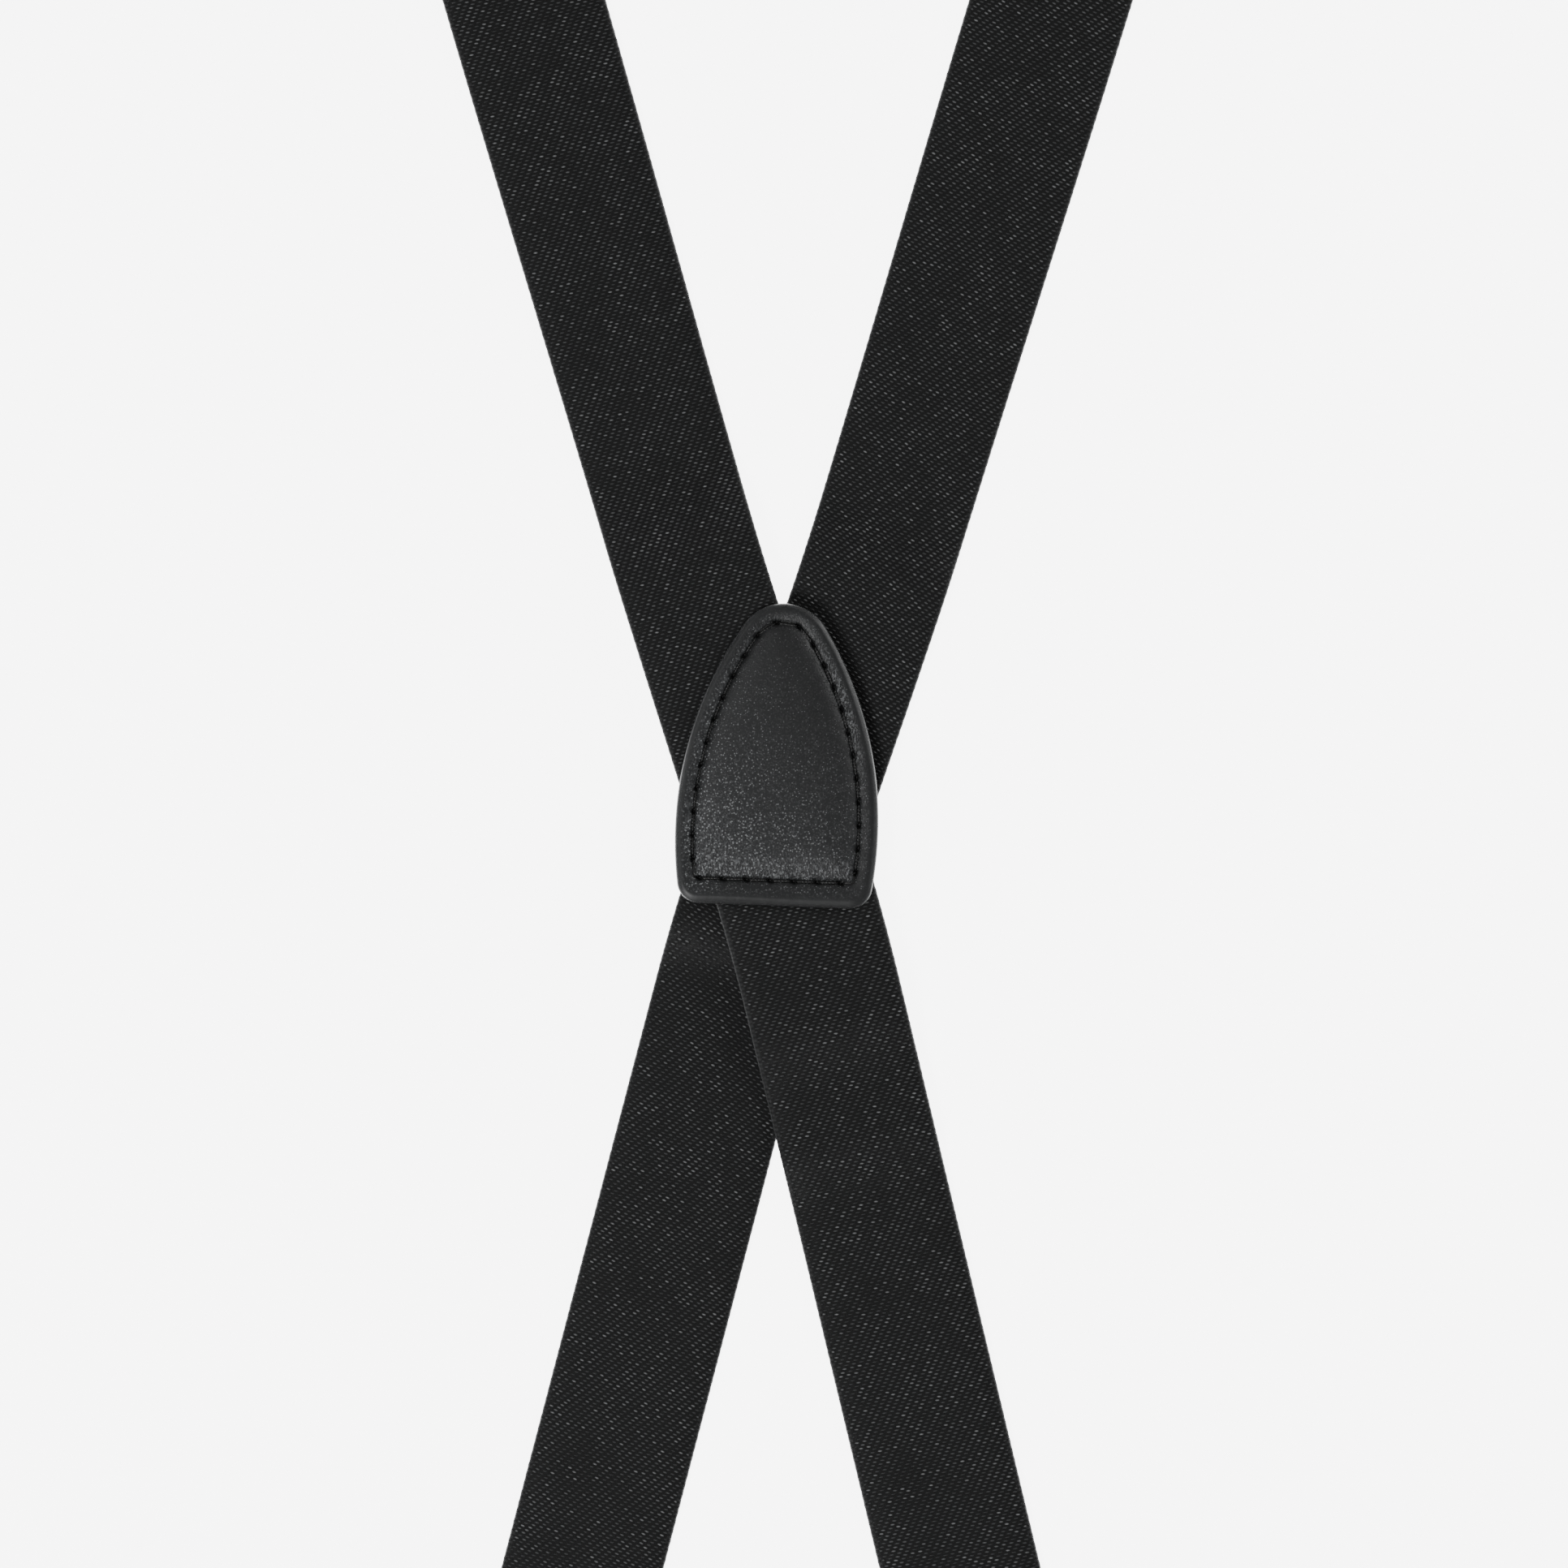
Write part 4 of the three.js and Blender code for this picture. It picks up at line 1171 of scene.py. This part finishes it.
    def relief(self, flat: np.ndarray, inset: float) -> np.ndarray:
        """Return the top surface's height at one ring.

        Args:
            flat: The ring's places.
            inset: Its distance in from the edge.

        Returns:
            A height for each place.
        """
        top = self.bottom + self.thickness
        rounded = math.sin(math.pi * min(inset / self.puff_width, 1.0))
        puff = self.puff * rounded if inset < self.puff_width else 0.0
        past = max(inset - self.panel_edge, 0.0)
        panel = self.dome * (0.55 * (1 - math.exp(-past / 1.3)) + 0.55 * (1 - math.exp(-past / 4.5)))
        height = np.full(len(flat), top + 0.04 + puff + panel)
        height -= self.groove_depth * math.exp(-(((inset - self.seam_inset) / self.groove_width) ** 2))
        cut = self.slot_depth * self.slots(flat, *self.slot)
        height -= cut + self.dimple_depth * self.slots(flat, *self.dimple)
        return height + self.unevenness(flat)

    def closed_layer(self, name: str, rings: list[Ring]) -> bpy.types.Object:
        """Skin rings into one closed layer of leather.

        Args:
            name: The piece's name.
            rings: The layer's rings, from the underside's rim to the middle.

        Returns:
            The piece, with the numbers that its finish reads.
        """
        count = len(rings[0].flat)
        points = [np.column_stack([ring.flat, ring.height]) for ring in rings]
        faces = ring_faces(len(rings), count)
        under, over = len(rings) * count, len(rings) * count + 1
        last = (len(rings) - 1) * count
        for k in range(count):
            following = (k + 1) % count
            faces += [(following, k, under), (last + k, last + following, over)]
        ends = rings[0], rings[-1]
        points.append(np.array([[*self.centre, ring.height.mean()] for ring in ends]))
        local = np.vstack(points)
        piece = mesh_piece(name, self.placed(local) * MM, faces)
        insets = np.repeat([ring.inset for ring in rings], count)
        inset = np.concatenate([insets, [ring.inset for ring in ends]])
        panel = np.concatenate([np.repeat([ring.panel for ring in rings], count), [0.0, rings[-1].panel]])
        for key, values in self.grain_and_painted_light(local, inset, panel).items():
            set_number(piece.data, key, np.clip(values, 0.0, 1.0))
        return piece

    def grain_and_painted_light(self, local: np.ndarray, inset: np.ndarray, panel: np.ndarray) -> dict[str, np.ndarray]:
        """Work out the numbers that the leather's finish reads.

        Args:
            local: The layer's points.
            inset: Each point's distance in from the edge.
            panel: Each point's share of the panel.

        Returns:
            A share for each point, by name.
        """
        x, y = local[:, 0], local[:, 1]
        # Mask of the seam's groove line, used with the needle slots as painted shade in the colour.
        line = 0.9 * np.exp(-(((inset - self.seam_inset) / 0.2) ** 4))
        # Creases along the panel's foot, in its lower left corner and on the band's right side: real
        # wrinkles in the bump and painted highlights in the colour.
        foot = ease((-15.0 - y) / 4.5) * panel
        corner = np.exp(-(((x + 12.0) / 5.0) ** 2)) * ease((-3.0 - y) / 14.0) * panel
        band = ease((inset - 1.1) / 0.7) * (1 - panel) * ease((y + 19.0) / 3.0)
        right_band_highlight = 0.25 + 0.75 * ease((x - 4.0) / 6.0) * ease((y + 6.0) / 12.0)
        # The band's left side is lightened as painted light.
        left_band_light = 0.35 + 0.5 * ease((-7.0 - x) / 5.0)
        return {
            "panel": panel,
            # Painted shade in the needle slots and along the groove.
            "seam": np.maximum(0.97 * self.slots(local[:, :2], *self.slot), line),
            "crease_and_highlight": foot + 0.6 * corner + band * right_band_highlight,
            "grained": ease((inset - 0.7) / 1.2),
            # Painted light: the panel lighter toward its lower left and the band lighter on its left side.
            "painted_light": panel * (0.42 - 0.028 * x - 0.026 * y) + (1 - panel) * left_band_light,
        }

    def back_rings(self) -> list[Ring]:
        """Lay out the back layer's rings: a flat plate with round edges, from inside to out."""
        profile = [(6.5, 0.0), (2.5, 0.0), (0.5, 0.0), (0.2, 0.06), (0.05, 0.2), (0.0, 0.5), (0.05, 0.85)]
        profile += [(0.2, 1.02), (0.5, 1.1), (2.5, 1.1), (6.5, 1.1)]
        return self.level_rings([(inset, rise / 1.1 * self.back_thickness) for inset, rise in profile])

    def build(self) -> list[bpy.types.Object]:
        """Make and dress the patch's pieces.

        Returns:
            The front layer, the back layer and the seam thread above and below.
        """
        dress = self.wardrobe.dress
        front = dress(self.closed_layer("patch_front_leather", self.front_rings()), Slot.LEATHER)
        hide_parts("patch_front")
        back = dress(self.closed_layer("patch_back_leather", self.back_rings()), Slot.LEATHER)
        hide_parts("patch_back")
        height = self.bottom + self.thickness - self.thread_in
        thread = self.seam_thread("patch_seam_stitches", height, 1.0)
        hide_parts("patch_thread")
        under = self.seam_thread("patch_under_stitches", self.thread_out, -1.0)
        return [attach(piece, "root") for piece in (front, back, thread, under)]

    def seam_thread(self, name: str, height: float, facing: float) -> bpy.types.Object:
        """Sew one side of the seam.

        Args:
            name: The piece's name.
            height: Height of the stitches' middle line.
            facing: 1 for stitches that face up, -1 for down.

        Returns:
            The stitches as one piece.
        """
        holes, _ = self.seam_marks()
        following = np.roll(holes, -1, axis=0)
        up = np.array([0.0, 0.0, facing])
        frames = []
        for here, there in zip(self.placed(holes), self.placed(following)):
            middle = np.array([*(here + there) / 2, height])
            frames.append((middle, np.array([*unit(there - here), 0.0]), up))
        gap = float(np.linalg.norm(following - holes, axis=1).mean())
        return SewnRow(name, Stitch(length=gap * 0.92), frames).build(self.wardrobe)


# ---- Pressed metal --------------------------------------------------------------------------


def roll_edges(piece: bpy.types.Object, width: float, keep_angle: float, smooth_angle: float) -> None:
    """Roll the sharp edges of the active piece and shade it smooth.

    Args:
        piece: The piece.
        width: Width of the rolled edges, in mm.
        keep_angle: Edges flatter than this many degrees stay as they are.
        smooth_angle: Edges sharper than this many degrees stay crisp.
    """
    bevel = piece.modifiers.new("rolled_edges", "BEVEL")
    bevel.width = width * MM
    bevel.segments = 2
    bevel.limit_method = "ANGLE"
    bevel.angle_limit = math.radians(keep_angle)
    bpy.ops.object.modifier_apply(modifier=bevel.name)
    bpy.ops.object.shade_smooth_by_angle(angle=math.radians(smooth_angle))


@dataclass
class PressedPart:
    """A pressed or moulded part: a solid of the frame with rolled, polished edges."""

    node: str
    home: Matrix
    roll: float = 0.16
    emboss: tuple[float, float] | None = None
    keep_angle: float = 28.0
    emboss_margin: float = 2.2
    emboss_depth: float = 0.22
    emboss_above: float = 6.0

    def shape(self) -> bpy.types.Mesh:
        """Return the part's mesh in its own frame, with its edges rolled."""
        mesh = frame["nodes"][self.node].data.copy()
        mesh.transform(self.home.inverted())
        piece = linked(f"{self.node}_working", mesh)
        activate(piece)
        bpy.ops.object.mode_set(mode="EDIT")
        bpy.ops.mesh.select_mode(type="VERT")
        bpy.ops.mesh.select_all(action="SELECT")
        bpy.ops.mesh.remove_doubles(threshold=0.002 * MM)
        bpy.ops.mesh.dissolve_limited(angle_limit=math.radians(0.5))
        bpy.ops.mesh.select_all(action="DESELECT")
        if self.emboss is not None:
            self.press_panel(piece)
        bpy.ops.object.mode_set(mode="OBJECT")
        roll_edges(piece, self.roll, self.keep_angle, self.keep_angle + 8.0)
        shaped = piece.data
        bpy.data.objects.remove(piece)
        return shaped

    def press_panel(self, piece: bpy.types.Object) -> None:
        """Press a shallow panel into the part's upper face, between two distances along it."""
        first, last = (end * MM for end in self.emboss)
        above = self.emboss_above * MM
        shell = bmesh.from_edit_mesh(piece.data)
        for face in shell.faces:
            middle = face.calc_center_median()
            face.select_set(face.normal.z > 0.8 and first < middle.x < last and middle.z > above)
        chosen = any(face.select for face in shell.faces)
        bmesh.update_edit_mesh(piece.data)
        if chosen:
            bpy.ops.mesh.inset(thickness=self.emboss_margin * MM, depth=-self.emboss_depth * MM)
        bpy.ops.mesh.select_all(action="DESELECT")


def place_matrix(spot: np.ndarray, way: np.ndarray) -> Matrix:
    """Return the frame whose X runs along a direction from a place on the table."""
    turn = math.atan2(way[1], way[0])
    return Matrix.Translation((spot[0] * MM, spot[1] * MM, 0.0)) @ Matrix.Rotation(turn, 4, "Z")


def half_turn(along: float) -> Matrix:
    """Return half a turn about the upright line at a distance along X, in mm."""
    middle = Matrix.Translation((along * MM, 0.0, 0.0))
    return middle @ Matrix.Rotation(math.pi, 4, "Z") @ middle.inverted()


@dataclass
class Stud:
    """A domed rivet or pin head with its shank, along Y."""

    head_radius: float
    head_depth: float
    shank_radius: float
    shank_length: float
    spot: tuple[float, float, float]

    def shape(self, name: str) -> bpy.types.Mesh:
        """Return the stud's mesh, its head's underside at its spot and its shank inwards."""
        deselect()
        bpy.ops.mesh.primitive_cylinder_add(
            vertices=32, radius=self.head_radius * MM, depth=self.head_depth * MM, calc_uvs=False
        )
        piece = bpy.context.view_layer.objects.active
        bpy.ops.object.mode_set(mode="EDIT")
        bpy.ops.mesh.select_mode(type="FACE")
        self.select_cap(piece, 1.0)
        for share, lift in ((0.22, 0.12), (0.3, 0.07), (0.3, 0.03)):
            bpy.ops.mesh.inset(thickness=self.head_radius * share * MM, depth=lift * MM)
        self.select_cap(piece, -1.0)
        bpy.ops.mesh.inset(thickness=(self.head_radius - self.shank_radius) * MM, depth=0.0)
        bpy.ops.mesh.extrude_region_move(
            TRANSFORM_OT_translate={"value": (0.0, 0.0, -self.shank_length * MM)}
        )
        bpy.ops.object.mode_set(mode="OBJECT")
        roll_edges(piece, 0.1, 40.0, 50.0)
        mesh = piece.data
        mesh.name = name
        seat = Matrix.Translation(Vector(self.spot) * MM) @ Matrix.Rotation(-math.pi / 2, 4, "X")
        mesh.transform(seat @ Matrix.Translation((0.0, 0.0, self.head_depth / 2 * MM)))
        bpy.data.objects.remove(piece)
        return mesh

    def select_cap(self, piece: bpy.types.Object, facing: float) -> None:
        """Select the flat face that looks one way along the axis."""
        bpy.ops.mesh.select_all(action="DESELECT")
        shell = bmesh.from_edit_mesh(piece.data)
        caps = [face for face in shell.faces if face.normal.z * facing > 0.99]
        best = max(caps, key=lambda face: face.calc_area())
        best.select_set(True)
        bmesh.update_edit_mesh(piece.data)


@dataclass
class HardwareRow:
    """Copies of models at named homes."""

    wardrobe: Wardrobe
    homes: dict[str, Matrix]
    made: list[bpy.types.Object] = field(default_factory=list)

    def spread(
        self,
        mesh: bpy.types.Mesh,
        names: tuple[str, str, str],
        slot: Slot = Slot.NICKEL,
        turn: Matrix = Matrix(),
    ) -> None:
        """Place a copy of a model at every home, dress it and tie it to its body.

        Args:
            mesh: The model in its own frame.
            names: What follows the home's name in the copy's, its solid's and its body's names.
            slot: The copies' finish.
            turn: How the model is turned first.
        """
        for name, home in self.homes.items():
            label, node, body = (f"{name}_{part}" for part in names)
            own = mesh.copy()
            own.transform(home @ turn)
            own.name = label
            piece = self.wardrobe.dress(linked(label, own), slot)
            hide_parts(node)
            self.made.append(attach(piece, body))


@dataclass
class Clips:
    """The four lever clips."""

    wardrobe: Wardrobe
    names: tuple[str, ...] = ("front_left", "front_right", "back_left", "back_right")
    pivot: tuple[float, float] = (31.0, 9.0)
    rail_out: float = 14.8
    gap: float = 0.3
    panel: tuple[float, float] = (9.0, 25.0)

    def build(self) -> list[bpy.types.Object]:
        """Model one clip and copy it to every strap end.

        Returns:
            All the clips' pieces.
        """
        homes = {name: place_matrix(*clip_place(name)) for name in self.names}
        first, home = next(iter(homes.items()))
        row = HardwareRow(self.wardrobe, homes)
        parts = [
            ("clip_body", "clip_frame", "clip", Slot.NICKEL, 0.16, None),
            ("clip_spring_jaw", "clip_jaw", "jaw", Slot.NICKEL, 0.12, None),
            ("clip_cover_lever", "clip_lever", "lever", Slot.NICKEL, 0.2, self.panel),
            ("clip_lower_grip", "clip_pad_lower", "clip", Slot.GRIP, 0.05, None),
            ("clip_upper_grip", "clip_pad_upper", "jaw", Slot.GRIP, 0.05, None),
        ]
        for label, node, body, slot, roll, panel in parts:
            mesh = PressedPart(f"{first}_{node}", home, roll, panel).shape()
            row.spread(mesh, (label, node, body), slot)
        spot = (self.pivot[0], self.rail_out + self.gap, self.pivot[1])
        sizes = {"head_radius": 1.5, "head_depth": 0.7, "shank_radius": 0.7, "shank_length": 3.1}
        stud = Stud(spot=spot, **sizes).shape("clip_stud")
        for letter, turn in (("a", Matrix()), ("b", half_turn(self.pivot[0]))):
            row.spread(stud, (f"clip_stud_{letter}", f"clip_rivet_{letter}", "clip"), turn=turn)
        return row.made


@dataclass
class Adjusters:
    """The two length adjusters."""

    wardrobe: Wardrobe
    plans: dict[str, PlanLine]
    pivot: tuple[float, float] = (-9.0, 5.4)
    wall_out: float = 14.8
    gap: float = 0.3
    panel: tuple[float, float] = (-0.5, 11.5)

    def build(self) -> list[bpy.types.Object]:
        """Model one adjuster and copy it to both straps.

        Returns:
            All the adjusters' pieces.
        """
        homes = {}
        for side, plan in self.plans.items():
            at = np.array([plan.adjuster])
            homes[side] = place_matrix(plan.spot(at)[0], plan.heading(at)[0])
        first, home = next(iter(homes.items()))
        row = HardwareRow(self.wardrobe, homes)
        body = PressedPart(f"{first}_adjuster_frame", home)
        row.spread(body.shape(), ("adjuster_body", "adjuster_frame", "adjuster"))
        lever = PressedPart(f"{first}_adjuster_lever", home, 0.2, self.panel)
        row.spread(lever.shape(), ("adjuster_cover_lever", "adjuster_lever", "adjuster_lock"))
        row.spread(self.pin_shape(), ("adjuster_hinge_pin", "adjuster_pin", "adjuster"))
        return row.made

    def pin_shape(self) -> bpy.types.Mesh:
        """Return the hinge pin: two half studs, one turned round, joined at the middle."""
        spot = (self.pivot[0], self.wall_out + self.gap, self.pivot[1])
        sizes = {"head_radius": 1.4, "head_depth": 0.6, "shank_radius": 0.8}
        half = Stud(shank_length=self.wall_out + self.gap, spot=spot, **sizes).shape("adjuster_pin")
        other = half.copy()
        other.transform(half_turn(self.pivot[0]))
        shell = bmesh.new()
        shell.from_mesh(half)
        shell.from_mesh(other)
        near = 0.01 * MM
        inner = [f for f in shell.faces if abs(f.calc_center_median().y) < near and abs(f.normal.y) > 0.9]
        bmesh.ops.delete(shell, geom=inner, context="FACES")
        bmesh.ops.remove_doubles(shell, verts=shell.verts, dist=near)
        shell.to_mesh(half)
        shell.free()
        return half


# ---- Studio ---------------------------------------------------------------------------------


@dataclass(frozen=True)
class Softbox:
    """A large soft lamp that looks at the patch."""

    name: str
    place: tuple[float, float, float]
    size: tuple[float, float]
    power: float

    def build(self) -> None:
        """Hang the lamp."""
        data = bpy.data.lights.new(self.name, "AREA")
        data.shape = "RECTANGLE"
        data.size, data.size_y = self.size
        data.energy = self.power
        lamp = bpy.data.objects.new(self.name, data)
        bpy.context.scene.collection.objects.link(lamp)
        lamp.location = self.place
        lamp.rotation_mode = "QUATERNION"
        lamp.rotation_quaternion = (-Vector(self.place)).to_track_quat("-Z", "Y")
        lamp.visible_camera = False


@dataclass
class Studio:
    """A white table, soft lamps and a camera straight above the crossing."""

    look_at: tuple[float, float] = (0.92, -4.74)
    view_width: float = 254.2
    strap_height: float = 3.0
    distance: float = 1.6
    table_size: float = 30.0
    table_drop: float = 0.25
    sensor: float = 36.0
    lamps: tuple[Softbox, ...] = (
        Softbox("lamp_low_left", (-0.95, -1.25, 1.9), (0.8, 0.8), 40.0),
        Softbox("lamp_high_right", (1.6, 0.9, 0.8), (0.5, 1.2), 20.0),
        Softbox("lamp_above_left", (-1.2, 0.9, 2.2), (1.2, 1.2), 10.0),
    )
    world_level: float = 0.22

    def build(self) -> None:
        """Set the table, the lamps, the world and the camera."""
        deselect()
        bpy.ops.mesh.primitive_plane_add(size=self.table_size, location=(0.0, 0.0, -self.table_drop * MM))
        table = bpy.context.view_layer.objects.active
        table.name = "table_top"
        table.data.materials.append(TableFinish().make())
        for lamp in self.lamps:
            lamp.build()
        world = bpy.data.worlds.new("studio_world")
        world.use_nodes = True
        background = world.node_tree.nodes["Background"]
        background.inputs["Color"].default_value = grey(1.0)
        background.inputs["Strength"].default_value = self.world_level
        bpy.context.scene.world = world
        self.set_camera()

    def set_camera(self) -> None:
        """Hang the camera straight above the crossing."""
        data = bpy.data.cameras.new("overhead_camera")
        data.sensor_width = self.sensor
        data.lens = self.sensor * self.distance / (self.view_width * MM)
        data.clip_start, data.clip_end = 0.05, 100.0
        camera = bpy.data.objects.new("overhead_camera", data)
        bpy.context.scene.collection.objects.link(camera)
        x, y = self.look_at
        camera.location = (x * MM, y * MM, self.distance + self.strap_height * MM)
        bpy.context.scene.camera = camera


# ---- Assembly -------------------------------------------------------------------------------


def report(pieces: Iterable[bpy.types.Object]) -> None:
    """Log each piece with its face count."""
    for piece in pieces:
        logger.info("%s: %d faces", piece.name, len(piece.data.polygons))


def main() -> None:
    """Build and dress every sub-assembly in order."""
    wardrobe = Wardrobe()
    right = Strap("right", "back_left", False, wardrobe)
    left = Strap("left", "back_right", True, wardrobe)
    for strap in (right, left):
        report(strap.build())
    report(Patch(wardrobe).build())
    report(left.sew() + right.sew())
    report(Clips(wardrobe).build())
    report(Adjusters(wardrobe, {"left": left.plan, "right": right.plan}).build())
    Studio().build()


if __name__ == "__main__":
    logging.basicConfig(level=logging.INFO, format="%(message)s")
    main()
